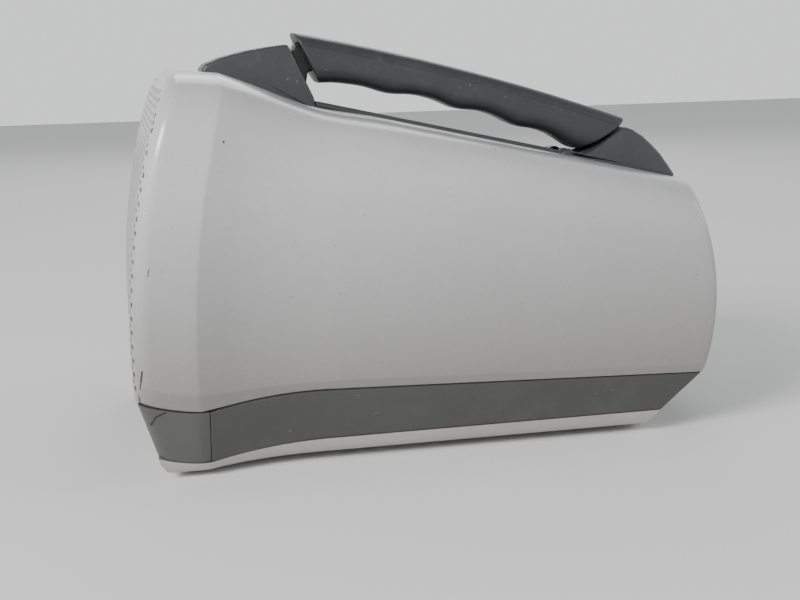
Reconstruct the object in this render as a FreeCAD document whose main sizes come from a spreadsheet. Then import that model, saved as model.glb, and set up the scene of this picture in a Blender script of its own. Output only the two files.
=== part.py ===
import FreeCAD, Part
import math
import os

# Portable ultrasound scanner: a wedge-shaped case with a wide, finned rear end, a low
# front end that carries the picture tube and the controls, and a swinging carry handle.
# Frame: +X from the rear to the front, +Z up, the origin under the middle on the floor.

V = FreeCAD.Vector
doc = FreeCAD.newDocument("scanner")
sheet = doc.addObject("Spreadsheet::Sheet", "Dims")

DIMENSIONS = [
    # case
    ("rear_end", -168.5), ("front_end", 168.5), ("wall", 3.0), ("seam", 0.3),
    ("band_half", 119.0), ("waist_half", 104.5), ("nose_half", 97.5),
    ("band_top", 206.8), ("band_fall", 0.07), ("roof_start", 188.4), ("roof_fall", 0.232),
    ("crease_x", -136.0), ("flare_length", 70.0), ("crease_arc", 480.0),
    ("band_low", 1.0), ("tray_low", 2.8), ("corner_power", 6.3),
    ("rear_arc", 400.0), ("rear_arc_high", 68.0), ("rear_rim", 3.0),
    ("plan_arc", 261.0), ("nose_arc", 135.0), ("nose_arc_high", 77.0),
    ("chin_high", 36.0), ("chin_run", 1.05),
    # belt
    ("belt_top", 38.9), ("belt_fall", 0.033), ("belt_low", 13.5), ("belt_dip", 6.7), ("foot_dip", 5.1), ("belt_slant", 0.23),
    ("belt_half", 102.6), ("belt_nose_half", 96.6), ("belt_flare", 12.5), ("belt_split", -131.0),
    # handle
    ("mount_half", 20.0), ("spine_half", 19.0), ("spine_thick", 2.2),
    ("grip_half", 17.5), ("grip_power", 3.4), ("strap_half", 8.0), ("pin_radius", 2.5),
    ("pivot_x", 134.0), ("pivot_z", 152.0), ("run_fit", 0.05),
    # screen and picture tube
    ("screen_y", -34.0), ("screen_z", 82.0), ("screen_wide", 100.0), ("screen_high", 75.0),
    ("filter_x", 141.0), ("tube_face_x", 138.5), ("neck_radius", 11.0), ("neck_end_x", -30.0),
    # control panel
    ("panel_x", 151.5), ("panel_y", 55.0), ("panel_z", 79.0), ("panel_turn", 12.0),
    ("panel_wide", 60.0), ("panel_high", 76.0), ("panel_thick", 2.5),
    ("key_wide", 12.0), ("key_high", 8.0), ("key_proud", 2.2), ("key_flange", 1.0),
    ("key_pitch_y", 17.0), ("key_pitch_z", 12.0), ("key_row_low", -30.0),
    ("freeze_wide", 19.0), ("freeze_high", 15.0), ("freeze_y", 14.5), ("freeze_z", 26.0),
    ("knob_radius", 6.0), ("knob_long", 9.0), ("gain_radius", 10.5), ("gain_long", 11.0),
    ("gain_y", -14.5), ("gain_z", 26.0), ("knob_row_z", 7.5), ("shaft_radius", 2.0),
    # probe socket
    ("socket_x", 84.0), ("socket_z", 80.0), ("socket_long", 64.0), ("socket_high", 34.0),
    ("socket_in", 78.0), ("socket_out", 105.0), ("socket_hole_long", 54.0), ("socket_hole_high", 22.0),
    # rear connection panel
    ("io_x", -151.5), ("io_thick", 2.0), ("io_low", 16.0), ("io_high", 38.4),
    ("io_left", -62.0), ("io_right", 92.0), ("io_mid", 27.2),
    ("inlet_y", 68.0), ("switch_y", 37.0), ("fuse_y", 11.0), ("video_y", -16.0), ("stud_y", -42.0),
    # fan
    ("fan_y", -38.0), ("fan_z", 108.0), ("fan_size", 80.0), ("fan_back", -150.0), ("fan_deep", 25.0),
    ("fan_bore", 37.5), ("fan_hub", 17.0), ("blade_tip", 36.5),
    # inside
    ("board_thick", 1.6), ("plate_low", 16.0), ("plate_thick", 1.5),
    ("foot_radius", 8.0), ("foot_x", 88.0), ("rear_foot_x", -138.0), ("foot_y", 52.0),
]
for row, (alias, number) in enumerate(DIMENSIONS, start=1):
    sheet.set("A%d" % row, alias)
    sheet.set("B%d" % row, str(number))
    sheet.setAlias("B%d" % row, alias)
doc.recompute()


def val(alias):
    return float(sheet.get(alias))


parts = []


def keep(obj, label):
    """Names a finished sub-part and lists it for export."""
    obj.Label = label
    parts.append(obj)
    return obj


def feature(label, shape, at=None):
    """A sub-part whose surface is computed from the sheet's values."""
    obj = doc.addObject("Part::Feature", label)
    obj.Shape = shape
    obj.Placement = FreeCAD.Placement(at or V(0, 0, 0), FreeCAD.Rotation())
    return keep(obj, label)


def bind(obj, **expressions):
    for prop, text in expressions.items():
        obj.setExpression(prop.replace("__", "."), str(text))
    return obj


def block(name, size, low):
    """Box with bound sides; low is its low corner."""
    obj = doc.addObject("Part::Box", name)
    bind(obj, Length=size[0], Width=size[1], Height=size[2])
    bind(obj, Placement__Base__x=low[0], Placement__Base__y=low[1], Placement__Base__z=low[2])
    return obj


def rod(name, radius, height, base, axis="z"):
    """Cylinder with bound radius and height, from base along the named axis."""
    obj = doc.addObject("Part::Cylinder", name)
    bind(obj, Radius=radius, Height=height)
    turn = {"z": FreeCAD.Rotation(),
            "x": FreeCAD.Rotation(V(0, 1, 0), 90),
            "y": FreeCAD.Rotation(V(1, 0, 0), -90)}[axis]
    obj.Placement = FreeCAD.Placement(V(0, 0, 0), turn)
    bind(obj, Placement__Base__x=base[0], Placement__Base__y=base[1], Placement__Base__z=base[2])
    return obj


def join(name, objects):
    obj = doc.addObject("Part::MultiFuse", name)
    obj.Shapes = objects
    return obj


def cut(name, base, tool):
    obj = doc.addObject("Part::Cut", name)
    obj.Base = base
    obj.Tool = tool
    return obj


def plane_of(body, role):
    return next(f for f in body.Origin.OriginFeatures if f.Role == role)


def sketch_on(body, name, role="XY_Plane"):
    sketch = body.newObject("Sketcher::SketchObject", name)
    sketch.AttachmentSupport = [(plane_of(body, role), "")]
    sketch.MapMode = "FlatFace"
    return sketch


def pin_point(sketch, edge, point, x_text, y_text):
    """Fixes one end of an edge from the sketch's origin, with both distances bound."""
    import Sketcher
    for kind, text in (("DistanceX", x_text), ("DistanceY", y_text)):
        index = sketch.addConstraint(Sketcher.Constraint(kind, -1, 1, edge, point, 1.0))
        sketch.renameConstraint(index, "%s_%d_%d" % (kind.lower(), edge, point))
        sketch.setExpression("Constraints.%s_%d_%d" % (kind.lower(), edge, point), str(text))


def polygon(sketch, corners):
    """Closed polygon whose corners are bound one by one."""
    import Sketcher
    count = len(corners)
    first = sketch.GeometryCount
    for k in range(count):
        a = V(k, k * k, 0)
        b = V(k + 1, (k + 1) * (k + 1), 0)
        if k == count - 1:
            b = V(0, 0, 0)
        sketch.addGeometry(Part.LineSegment(a, b), False)
    for k in range(count):
        after = first + (k + 1) % count
        sketch.addConstraint(Sketcher.Constraint("Coincident", first + k, 2, after, 1))
    for k, (x_text, y_text) in enumerate(corners):
        pin_point(sketch, first + k, 1, x_text, y_text)


def circle(sketch, x_text, y_text, r_text):
    import Sketcher
    index = sketch.addGeometry(Part.Circle(V(0, 0, 0), V(0, 0, 1), 3.0), False)
    pin_point(sketch, index, 3, x_text, y_text)
    named = sketch.addConstraint(Sketcher.Constraint("Radius", index, 3.0))
    sketch.renameConstraint(named, "radius_%d" % index)
    sketch.setExpression("Constraints.radius_%d" % index, str(r_text))


def rectangle(sketch, x_text, y_text, w_text, h_text):
    """Rectangle round the point (x, y)."""
    corners = []
    for sx, sy in ((-1, -1), (1, -1), (1, 1), (-1, 1)):
        corners.append(("(%s) + (%d) * (%s) / 2" % (x_text, sx, w_text),
                        "(%s) + (%d) * (%s) / 2" % (y_text, sy, h_text)))
    polygon(sketch, corners)


def pad(body, sketch, length, start="0", name="Pad"):
    """Pad from a height above the sketch's plane."""
    sketch.setExpression("AttachmentOffset.Base.z", str(start))
    feat = body.newObject("PartDesign::Pad", name)
    feat.Profile = sketch
    feat.setExpression("Length", str(length))
    body.Tip = feat
    return feat


def place(obj, at, turn=None):
    obj.Placement = FreeCAD.Placement(at, turn or FreeCAD.Rotation())
    return obj


# ---------------------------------------------------------------------------------------
# Case surfaces. Each cross-section is a superellipse |y/w|^n + |z/h|^n = 1, so that the
# sides bulge a little and the corners are round. The sections are bowed backwards and
# forwards like the crease, and the flare dies away from the crease to the waist.

def clamp(v):
    return max(0.0, min(1.0, v))


def flare_at(x):
    """1 on the wide rear band, falling to 0 at the waist with a concave curve."""
    return (1.0 - clamp((x - val("crease_x")) / val("flare_length"))) ** 2.4


def bow_at(x):
    """How much of the crease's arc a section at x follows."""
    front = clamp((-20.0 - x) / 60.0)
    rear = clamp((x + 188.0) / 30.0)
    return front * front * (3 - 2 * front) * rear / (2 * val("crease_arc"))


def roof_at(x):
    """Height of the sloping roof's line."""
    return val("roof_start") - val("roof_fall") * (x + 70.0)


def case_section(x, inset, lower):
    """Closed row of points round the case at x, moved in by inset."""
    flare = flare_at(x)
    along = clamp((x + 66.0) / 216.0)
    bow = bow_at(x)
    low = val("tray_low") + (val("band_low") - val("tray_low")) * flare
    if lower:
        half = val("belt_half") + (val("belt_nose_half") - val("belt_half")) * along
        half += val("belt_flare") * flare
        top = 64.0
        power = 12.0
    else:
        half = val("waist_half") + (val("nose_half") - val("waist_half")) * along
        half += (val("band_half") - val("waist_half")) * flare
        x_top = x + bow * 145.0 ** 2
        band = val("band_top") - val("band_fall") * (x_top + 135.0)
        lift = band - roof_at(x_top)
        if x > val("crease_x"):
            lift = (band - roof_at(x_top)) * (1.0 - clamp((x - val("crease_x")) / 62.0)) ** 2.0
        top = roof_at(x_top) + lift
        low = -5.0 * flare
        power = val("corner_power")
    half -= inset
    top -= inset
    low += inset
    mid = (top + low) / 2
    high = (top - low) / 2
    row = []
    count = 76
    for k in range(count + 1):
        turn = 2 * math.pi * (k % count) / count - math.pi / 2
        turn += 0.16 * math.sin(4 * turn)
        c = math.cos(turn)
        s = math.sin(turn)
        reach = (abs(c) ** power + abs(s) ** power) ** (-1.0 / power)
        z = mid + high * reach * s
        width = half
        if lower:
            width = half - val("belt_slant") * max(-40.0, val("belt_top") - z)
        row.append(V(x + bow * (z - 60.0) ** 2, width * reach * c, z))
    return row


STATIONS = (-195, -180, -165, -152, -144, -139, -135, -131, -126, -120, -113, -105, -96, -86,
            -75, -64, -52, -38, -20, 5, 35, 70, 110, 150, 195)


def skin_solid(rows):
    """Solid inside one smooth surface through the rows, closed by flat ends."""
    surface = Part.BSplineSurface()
    surface.interpolate(rows)
    side = surface.toShape()
    ends = []
    for row in (rows[0], rows[-1]):
        level = row[0].x
        ring = [e for e in side.Edges
                if abs(e.BoundBox.XMin - level) < 1e-3 and abs(e.BoundBox.XMax - level) < 1e-3]
        ends.append(Part.Face(Part.Wire(ring)))
    shell = Part.makeShell([side] + ends)
    shell.sewShape()
    solid = Part.Solid(shell)
    if solid.Volume < 0:
        solid.reverse()
    return solid


def case_solid(inset, lower=False):
    return skin_solid([case_section(float(x), inset, lower) for x in STATIONS])


def rear_round(inset):
    """Cylinder about a crosswise axis whose back is the case's convex rear."""
    radius = val("rear_arc") - inset
    centre = V(val("rear_end") + val("rear_arc"), -200, val("rear_arc_high"))
    return Part.makeCylinder(radius, 400, centre, V(0, 1, 0))


def nose_round(inset):
    """Barrel about an upright axis: its side is the convex front, its lower cone the chin."""
    axis_x = val("front_end") - val("plan_arc")
    radius = val("nose_arc") - inset
    centre_r = val("plan_arc") - val("nose_arc")
    mid = val("nose_arc_high")

    def barrel(z):
        return centre_r + math.sqrt(radius ** 2 - (z - mid) ** 2)

    low = -20.0
    chin = val("chin_high")
    top = mid + 131.0
    chin_r = centre_r + math.sqrt(val("nose_arc") ** 2 - (chin - mid) ** 2) - inset
    start = V(chin_r, 0, chin)
    end = V(barrel(top), 0, top)
    middle = V(barrel((chin + top) / 2), 0, (chin + top) / 2)
    foot = V(chin_r - (chin - low) * val("chin_run"), 0, low)
    edges = [
        Part.makeLine(V(0, 0, low), foot),
        Part.makeLine(foot, start),
        Part.Arc(start, middle, end).toShape(),
        Part.makeLine(end, V(0, 0, top)),
        Part.makeLine(V(0, 0, top), V(0, 0, low)),
    ]
    barrel_solid = Part.Face(Part.Wire(edges)).revolve(V(0, 0, 0), V(0, 0, 1), 360)
    barrel_solid.translate(V(axis_x, 0, 0))
    return barrel_solid


def dip(x, back):
    """Share of the belt's dip at x: 1 at the crease, dying away forwards along a concave
    curve, and backwards along a parabola that ends at back."""
    if x > val("belt_split"):
        return (1.0 - clamp((x - val("belt_split")) / 65.0)) ** 1.8
    return 1.0 - clamp((val("belt_split") - x) / (val("belt_split") - back)) ** 2


EDGE_X = [-250.0, -168.5] + [-168.0 + 2.0 * k for k in range(52)] + [250.0]


def above_edge(edge):
    """Everything above an edge that runs round the case at the height edge(x)."""
    return extruded([(x, edge(x)) for x in EDGE_X] + [(250.0, 400.0), (-250.0, 400.0)], -200, 200)


def above_belt(offset):
    """Everything above the belt's sloping top edge, which dips at the crease."""
    return above_edge(lambda x: val("belt_top") - val("belt_fall") * x
                      - val("belt_dip") * dip(x, -168.5) + offset)


def above_foot(offset):
    """Everything above the belt's bottom edge."""
    return above_edge(lambda x: val("belt_low") - val("foot_dip") * dip(x, -159.0) + offset)


def slab(low, high):
    return Part.makeBox(500, 400, high - low, V(-250, -200, low))


def extruded(corners, y_low, y_high):
    """Prism across the case from a side profile of (x, z) corners."""
    wire = Part.makePolygon([V(x, y_low, z) for x, z in corners + corners[:1]])
    return Part.Face(wire).extrude(V(0, y_high - y_low, 0))


def foot_slant(inset):
    """Space behind the foot's slanting rear: a prism shifted forwards by inset."""
    corners = [(-210.0, 47.0), (-167.9, 47.0), (-158.2, 15.0), (-156.6, 9.0), (-153.4, 4.6),
               (-148.0, 2.2), (-143.5, 1.1), (-138.0, -1.0), (-138.0, -20.0), (-210.0, -20.0)]
    return extruded([(x + inset if x > -200 else x, z) for x, z in corners], -200, 200)


def box_round(cx, cy, cz, lx, ly, lz):
    return Part.makeBox(lx, ly, lz, V(cx - lx / 2, cy - ly / 2, cz - lz / 2))


outer = case_solid(0.0)
inner = case_solid(val("wall"))
lining = case_solid(val("wall") + val("seam"))
rear_outer = rear_round(0.0)
nose_outer = nose_round(0.0)
upper_zone = above_belt(val("seam") / 2)

# ---------------------------------------------------------------------------------------
# Upper housing: one thin-walled moulding, open below, behind and in front, with a slot for
# the probe socket and a round hole for its latch in the right side.
socket_slot = Part.makeBox(val("socket_long") + 0.6, 60, val("socket_high") + 0.6,
                           V(val("socket_x") - val("socket_long") / 2 - 0.3, 70,
                             val("socket_z") - val("socket_high") / 2 - 0.3))
boss_hole = Part.makeCylinder(8.3, 60, V(val("socket_x") - 4, 70, val("socket_z") - 25.5), V(0, 1, 0))
housing = outer.common(rear_round(val("rear_rim"))).common(nose_outer).common(upper_zone)
housing = housing.cut(inner).cut(socket_slot).cut(boss_hole)
feature("upper_housing", housing)

# Rear grille: curved panel that fills the housing's rear opening and stands a little proud.
grille = lining.common(rear_outer).common(above_belt(val("seam")))
grille = grille.cut(rear_round(val("rear_rim") + 1.0))
feature("rear_grille", grille)

# ---------------------------------------------------------------------------------------
# Belt: three slanting strips round the foot of the case, split at the crease.
lower_outer = case_solid(0.0, True).common(rear_outer).common(nose_outer).cut(foot_slant(0.0))
lower_inner = case_solid(val("wall"), True).cut(foot_slant(val("wall")))
belt_zone = above_foot(val("seam") / 2).common(slab(0, 60)).cut(above_belt(-val("seam") / 2))
belt = lower_outer.common(belt_zone)
belt_ring = belt.cut(lower_inner.common(rear_round(val("wall"))))
for label, y_low in (("belt_left", -200.0), ("belt_right", 0.0)):
    half = Part.makeBox(400, 200, 100, V(val("belt_split") + val("seam"), y_low, 0))
    feature(label, belt_ring.common(half))

io_mid_y = (val("io_left") + val("io_right")) / 2
io_wide = val("io_right") - val("io_left")
io_tall = val("io_high") - val("io_low")
io_centre_z = (val("io_high") + val("io_low")) / 2
window = box_round(val("io_x") - 10, io_mid_y, io_centre_z, 40, io_wide + 0.4, io_tall + 0.4)
frame_out = box_round(val("io_x"), io_mid_y, io_centre_z, 40, io_wide + 4.0, io_tall + 3.4)
back = Part.makeBox(100, 400, 100, V(val("belt_split") - 100, -200, 0))
rear_strip = belt_ring.common(back).cut(window)
collar_zone = Part.makeBox(17, 400, 100, V(val("io_x") - 14, -200, 0))
collar = frame_out.common(lower_outer).common(collar_zone).cut(window.cut(slab(-5, -4)))
collar = collar.cut(box_round(val("io_x"), io_mid_y, io_centre_z, 60, io_wide + 0.4, io_tall + 0.4))
feature("belt_rear", rear_strip.fuse(collar).removeSplitter())

# Base tray: shallow moulding that closes the case from below.
tray = lower_outer.common(slab(-5, 60)).cut(above_foot(-val("seam") / 2))
tray = tray.cut(lower_inner.common(rear_round(val("wall"))).common(nose_round(val("wall"))))
for sx in (-1, 1):
    for sy in (-1, 1):
        bore = Part.makeCylinder(1.8, 20, V(sx * 70.0, sy * 60.0, 0))
        tray = tray.cut(bore)
feature("base_tray", tray)

lower_lining = case_solid(val("wall") + val("seam"), True)
# Chin: conical panel between the belt strips under the nose.
chin = lower_lining.common(nose_outer).cut(nose_round(val("wall")))
chin = chin.common(slab(0, 60)).common(above_foot(0.15)).cut(above_belt(-4.0))
chin = chin.common(Part.makeBox(200, 400, 100, V(60, -200, 0)))
feature("chin_front", chin)

# ---------------------------------------------------------------------------------------
# Front bezel: doubly curved frame with a deep collar round the screen and another round
# the control panel.
turn_panel = FreeCAD.Placement(V(val("panel_x"), val("panel_y"), val("panel_z")),
                               FreeCAD.Rotation(V(0, 0, 1), val("panel_turn")))


def panel_box(x_low, x_high, y, z, wide, high):
    """Box given in the control panel's own frame, whose +X points out of the panel."""
    shape = Part.makeBox(x_high - x_low, wide, high, V(x_low, y - wide / 2, z - high / 2))
    shape.Placement = turn_panel.multiply(shape.Placement)
    return shape


bezel_zone = lining.common(above_belt(-3.6)).common(Part.makeBox(120, 400, 300, V(80, -200, 0)))
bezel_body = bezel_zone.common(nose_outer)
shell = bezel_body.cut(nose_round(val("wall")))
screen_hole = box_round(150, val("screen_y"), val("screen_z"), 90,
                        val("screen_wide") + 0.6, val("screen_high") + 0.6)
screen_rim = Part.makeBox(40, val("screen_wide") + 5, val("screen_high") + 5,
                          V(val("filter_x") - 1.0, val("screen_y") - val("screen_wide") / 2 - 2.5,
                            val("screen_z") - val("screen_high") / 2 - 2.5))
panel_hole = panel_box(-30, 40, 0, 0, val("panel_wide") + 0.6, val("panel_high") + 0.6)
panel_rim = panel_box(-val("panel_thick"), 30, 0, 0, val("panel_wide") + 5, val("panel_high") + 5)
rims = screen_rim.fuse(panel_rim).common(bezel_body)
belt_room = lower_outer.cut(lower_lining).cut(above_belt(0.3))
bezel = shell.fuse(rims).cut(screen_hole).cut(panel_hole).cut(belt_room).removeSplitter()
feature("front_bezel", bezel)

# ---------------------------------------------------------------------------------------
# Handle mounts: two mouldings shaped to the roof, each hollow for the handle strap.
rear_profile = [(-121.0, 200.0), (-121.0, 207.4), (-118.7, 209.8), (-110.2, 213.2),
                (-96.3, 216.5), (-84.6, 218.3), (-74.0, 219.5), (-72.4, 218.8),
                (-58.6, 189.0), (-57.4, 180.0)]
rear_mount = extruded(rear_profile, -val("mount_half"), val("mount_half")).cut(outer)
rear_pocket = extruded([(-92.0, 180.0), (-92.0, 214.4), (-79.0, 216.0), (-50.0, 216.0), (-50.0, 180.0)],
                       -val("strap_half") - 0.5, val("strap_half") + 0.5)
feature("handle_mount_rear", rear_mount.cut(rear_pocket))

front_profile = [(84.8, 150.4), (85.6, 153.0), (88.0, 154.9), (91.0, 155.1), (94.4, 153.2),
                 (99.9, 151.8), (104.2, 153.4), (108.1, 155.6),
                 (113.2, 158.8), (118.0, 162.2), (124.8, 166.6), (129.8, 164.9), (136.2, 160.8),
                 (141.7, 155.8), (147.3, 149.9), (151.9, 143.5), (156.0, 137.4), (150.0, 130.0),
                 (84.8, 140.0)]
front_mount = extruded(front_profile, -val("mount_half"), val("mount_half")).cut(outer)
front_mount = front_mount.common(Part.makeBox(71.2, 60, 60, V(84.8, -30, 130)))
front_pocket = extruded([(80.0, 140.0), (80.0, 175.0), (124.0, 175.0), (125.5, 163.0),
                         (135.0, 160.0), (142.0, 153.0), (142.8, 140.0)],
                        -val("strap_half") - 0.5, val("strap_half") + 0.5)
pin_bore = Part.makeCylinder(val("pin_radius") + 0.02, 80, V(val("pivot_x"), -40, val("pivot_z")), V(0, 1, 0))
feature("handle_mount_front", front_mount.cut(front_pocket).cut(pin_bore))

# Hinge pin across the front mount.
bind(keep(rod("handle_pin", "Dims.pin_radius", "2 * Dims.mount_half - 1",
              ("Dims.pivot_x", "-Dims.mount_half + 0.5", "Dims.pivot_z"), "y"), "handle_pin"))

# Spine: low strip along the roof between the mounts.
spine_corners = [(-56.8, roof_at(-56.8) + 0.05), (84.4, roof_at(84.4) + 0.05),
                 (84.4, roof_at(84.4) + val("spine_thick")), (-56.8, roof_at(-56.8) + val("spine_thick"))]
spine = extruded(spine_corners, -val("spine_half"), val("spine_half")).cut(outer)
feature("top_spine", spine)

# ---------------------------------------------------------------------------------------
# Grip: rounded bar with four finger grooves, moulded round a steel strap.
def grip_top(x):
    """Upper line of the grip, slightly arched."""
    s = (x + 69.0) / 197.0
    return 226.3 - 38.0 * s - 16.8 * s * s


def grip_low(x):
    """Lower line: a slope with three low ridges between the finger grooves."""
    u = x + 50.0
    ridges = 0.0
    for ridge, high in ((-60.0, 1.5), (-14.0, 2.0), (25.5, 2.4), (61.5, 2.3), (97.0, 3.2)):
        ridges += high * math.exp(-((x - ridge) / 10.0) ** 2)
    return 197.9 - 0.1236 * u - 0.00102 * u * u - ridges


def grip_section(x):
    top = grip_top(x)
    low = grip_low(x)
    mid = (top + low) / 2
    high = (top - low) / 2
    row = []
    count = 40
    for k in range(count + 1):
        turn = 2 * math.pi * (k % count) / count - math.pi / 2
        turn += 0.12 * math.sin(4 * turn)
        c = math.cos(turn)
        s = math.sin(turn)
        power = val("grip_power")
        reach = (abs(c) ** power + abs(s) ** power) ** (-1.0 / power)
        row.append(V(x, val("grip_half") * reach * c, mid + high * reach * s))
    return row


grip_rows = [grip_section(-86.0 + 232.0 * k / 58) for k in range(59)]
grip_solid = skin_solid(grip_rows)
rear_trim = extruded([(-200.0, 100.0), (-200.0, 300.0), (-104.6, 300.0), (-69.0, 227.0),
                      (-54.7, 197.2), (-8.0, 100.0)], -40, 40)
front_trim = Part.makeBox(120, 80, 160, V(90.5, -40, 100)).cut(
    Part.makeCylinder(84.6, 100, V(72.0, -50, 235.0), V(0, 1, 0)))
grip_solid = grip_solid.cut(rear_trim).cut(front_trim)


def strap_mid(x):
    """Middle line of the strap inside the grip."""
    return (grip_top(x) + grip_low(x)) / 2


def strap_profile(extra):
    """Side profile of the strap: deep rear tongue, slim bar, front eye."""
    upper = [(-86.0 - extra, 212.4 + extra), (-80.0, 213.0 + extra), (-70.3, 213.0 + extra),
             (-67.2, 220.1 + extra), (-62.5, 220.1 + extra)]
    lower = [(-60.4, 203.3 - extra), (-61.8, 196.1 - extra), (-68.0, 196.4 - extra),
             (-78.0, 200.6 - extra), (-86.0 - extra, 203.6 - extra)]
    bar = [-50.0 + 12.0 * k for k in range(13)]
    upper += [(x, strap_mid(x) + 3.0 + extra) for x in bar]
    lower = [(x, strap_mid(x) - 3.0 - extra) for x in reversed(bar)] + lower
    upper += [(118.0, 164.6 + extra), (133.0, 157.6 + extra)]
    lower = [(131.0, 146.4 - extra), (112.0, 156.2 - extra)] + lower
    return upper + lower


eye = Part.makeCylinder(5.6, 2 * val("strap_half"),
                        V(val("pivot_x"), -val("strap_half"), val("pivot_z")), V(0, 1, 0))
strap = extruded(strap_profile(0.0), -val("strap_half"), val("strap_half")).fuse(eye)
strap = strap.cut(Part.makeCylinder(val("pin_radius") + val("run_fit"), 80,
                                    V(val("pivot_x"), -40, val("pivot_z")), V(0, 1, 0)))
feature("handle_strap", strap.removeSplitter())
strap_room = extruded(strap_profile(0.05), -val("strap_half") - 0.05, val("strap_half") + 0.05)
cap_line = [(-100.0 + 8.0 * k, grip_top(-100.0 + 8.0 * k) - 6.5) for k in range(32)]
cap_zone = extruded(cap_line + [(150.0, 320.0), (-100.0, 320.0)], -40, 40)
core_zone = extruded([(x, z - 0.25) for x, z in cap_line] + [(150.0, 320.0), (-100.0, 320.0)], -40, 40)
feature("grip_core", grip_solid.cut(strap_room).cut(core_zone))
feature("grip_cap", grip_solid.cut(strap_room).common(cap_zone))

# ---------------------------------------------------------------------------------------
# Screen filter and picture tube.
keep(block("screen_filter", ("3", "Dims.screen_wide", "Dims.screen_high"),
           ("Dims.filter_x", "Dims.screen_y - Dims.screen_wide / 2", "Dims.screen_z - Dims.screen_high / 2")),
     "screen_filter")


def tube_ring(x, half_y, half_z, power):
    row = []
    for k in range(33):
        turn = 2 * math.pi * (k % 32) / 32
        c = math.cos(turn)
        s = math.sin(turn)
        reach = (abs(c) ** power + abs(s) ** power) ** (-1.0 / power)
        row.append(V(x, half_y * reach * c, half_z * reach * s))
    return row


def tube_size(t):
    """Funnel from the neck (t = 0) to the face (t = 1)."""
    grow = t ** 1.25
    half_y = val("neck_radius") + (51.5 - val("neck_radius")) * grow
    half_z = val("neck_radius") + (39.5 - val("neck_radius")) * grow
    return half_y, half_z, 2.0 + 3.0 * t


funnel_start = 60.0
rows = []
neck_steps = 8
for k in range(neck_steps):
    x = val("neck_end_x") + (funnel_start - val("neck_end_x")) * k / neck_steps
    rows.append(tube_ring(x, val("neck_radius"), val("neck_radius"), 2.0))
for k in range(11):
    t = k / 10.0
    half_y, half_z, power = tube_size(t)
    rows.append(tube_ring(funnel_start + 60.0 * t, half_y, half_z, power))
for x in (126.0, 132.0, val("tube_face_x")):
    rows.append(tube_ring(x, 51.5, 39.5, 5.0))
feature("crt_tube", skin_solid(rows), V(0, val("screen_y"), val("screen_z")))

# Deflection yoke: a coil ring on the tube's neck.
yoke = doc.addObject("PartDesign::Body", "deflection_yoke")
yoke_sketch = sketch_on(yoke, "YokeProfile", "YZ_Plane")
circle(yoke_sketch, "0", "0", "31")
circle(yoke_sketch, "0", "0", "Dims.neck_radius + 0.2")
pad(yoke, yoke_sketch, "26", "0", "YokePad")
place(keep(yoke, "deflection_yoke"), V(32.0, val("screen_y"), val("screen_z")))

# Neck board with its socket ring.
neck_board = doc.addObject("PartDesign::Body", "neck_board")
nb_sketch = sketch_on(neck_board, "NeckBoardProfile", "YZ_Plane")
rectangle(nb_sketch, "0", "0", "58", "58")
pad(neck_board, nb_sketch, "Dims.board_thick", "0", "NeckBoardPad")
nb_socket = sketch_on(neck_board, "NeckSocketProfile", "YZ_Plane")
circle(nb_socket, "0", "0", "13")
pad(neck_board, nb_socket, "7", "Dims.board_thick", "NeckSocketPad")
place(keep(neck_board, "neck_board"), V(val("neck_end_x") - 8.7, val("screen_y"), val("screen_z")))

# Tube frame: plate round the bulb, standing on the chassis.
frame_plate = block("FramePlate", ("2", "122", "88"), ("129", "Dims.screen_y - 57", "Dims.screen_z - 50"))
frame_hole = block("FrameHole", ("6", "104.2", "80.2"), ("127", "Dims.screen_y - 52.1", "Dims.screen_z - 40.1"))
keep(cut("crt_frame", frame_plate, frame_hole), "crt_frame")

# ---------------------------------------------------------------------------------------
# Control panel: flat plate in its own turned frame, with keys and knobs through it.
KEY_NAMES = ("key_depth", "key_focus", "key_invert", "key_mark", "key_measure", "key_enter",
             "key_cursor", "key_store", "key_annotate")
key_places = []
for index, name in enumerate(KEY_NAMES):
    key_places.append((name,
                       "Dims.key_pitch_y * %d" % (index % 3 - 1),
                       "Dims.key_row_low + Dims.key_pitch_z * %d" % (index // 3),
                       "Dims.key_wide", "Dims.key_high"))
key_places.append(("key_freeze", "Dims.freeze_y", "Dims.freeze_z", "Dims.freeze_wide", "Dims.freeze_high"))
knob_places = [("knob_gain", "Dims.gain_y", "Dims.gain_z", "Dims.gain_radius", "Dims.gain_long")]
for index, name in enumerate(("knob_near", "knob_far", "knob_bright")):
    knob_places.append((name, "Dims.key_pitch_y * %d" % (index - 1), "Dims.knob_row_z",
                        "Dims.knob_radius", "Dims.knob_long"))

panel = doc.addObject("PartDesign::Body", "control_panel")
panel_sketch = sketch_on(panel, "PanelProfile", "YZ_Plane")
rectangle(panel_sketch, "0", "0", "Dims.panel_wide", "Dims.panel_high")
for name, y_text, z_text, w_text, h_text in key_places:
    rectangle(panel_sketch, y_text, z_text, w_text + " + 0.6", h_text + " + 0.6")
for name, y_text, z_text, r_text, l_text in knob_places:
    circle(panel_sketch, y_text, z_text, "Dims.shaft_radius + 0.06")
pad(panel, panel_sketch, "Dims.panel_thick", "-Dims.panel_thick", "PanelPad")
keep(panel, "control_panel").Placement = turn_panel

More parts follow.
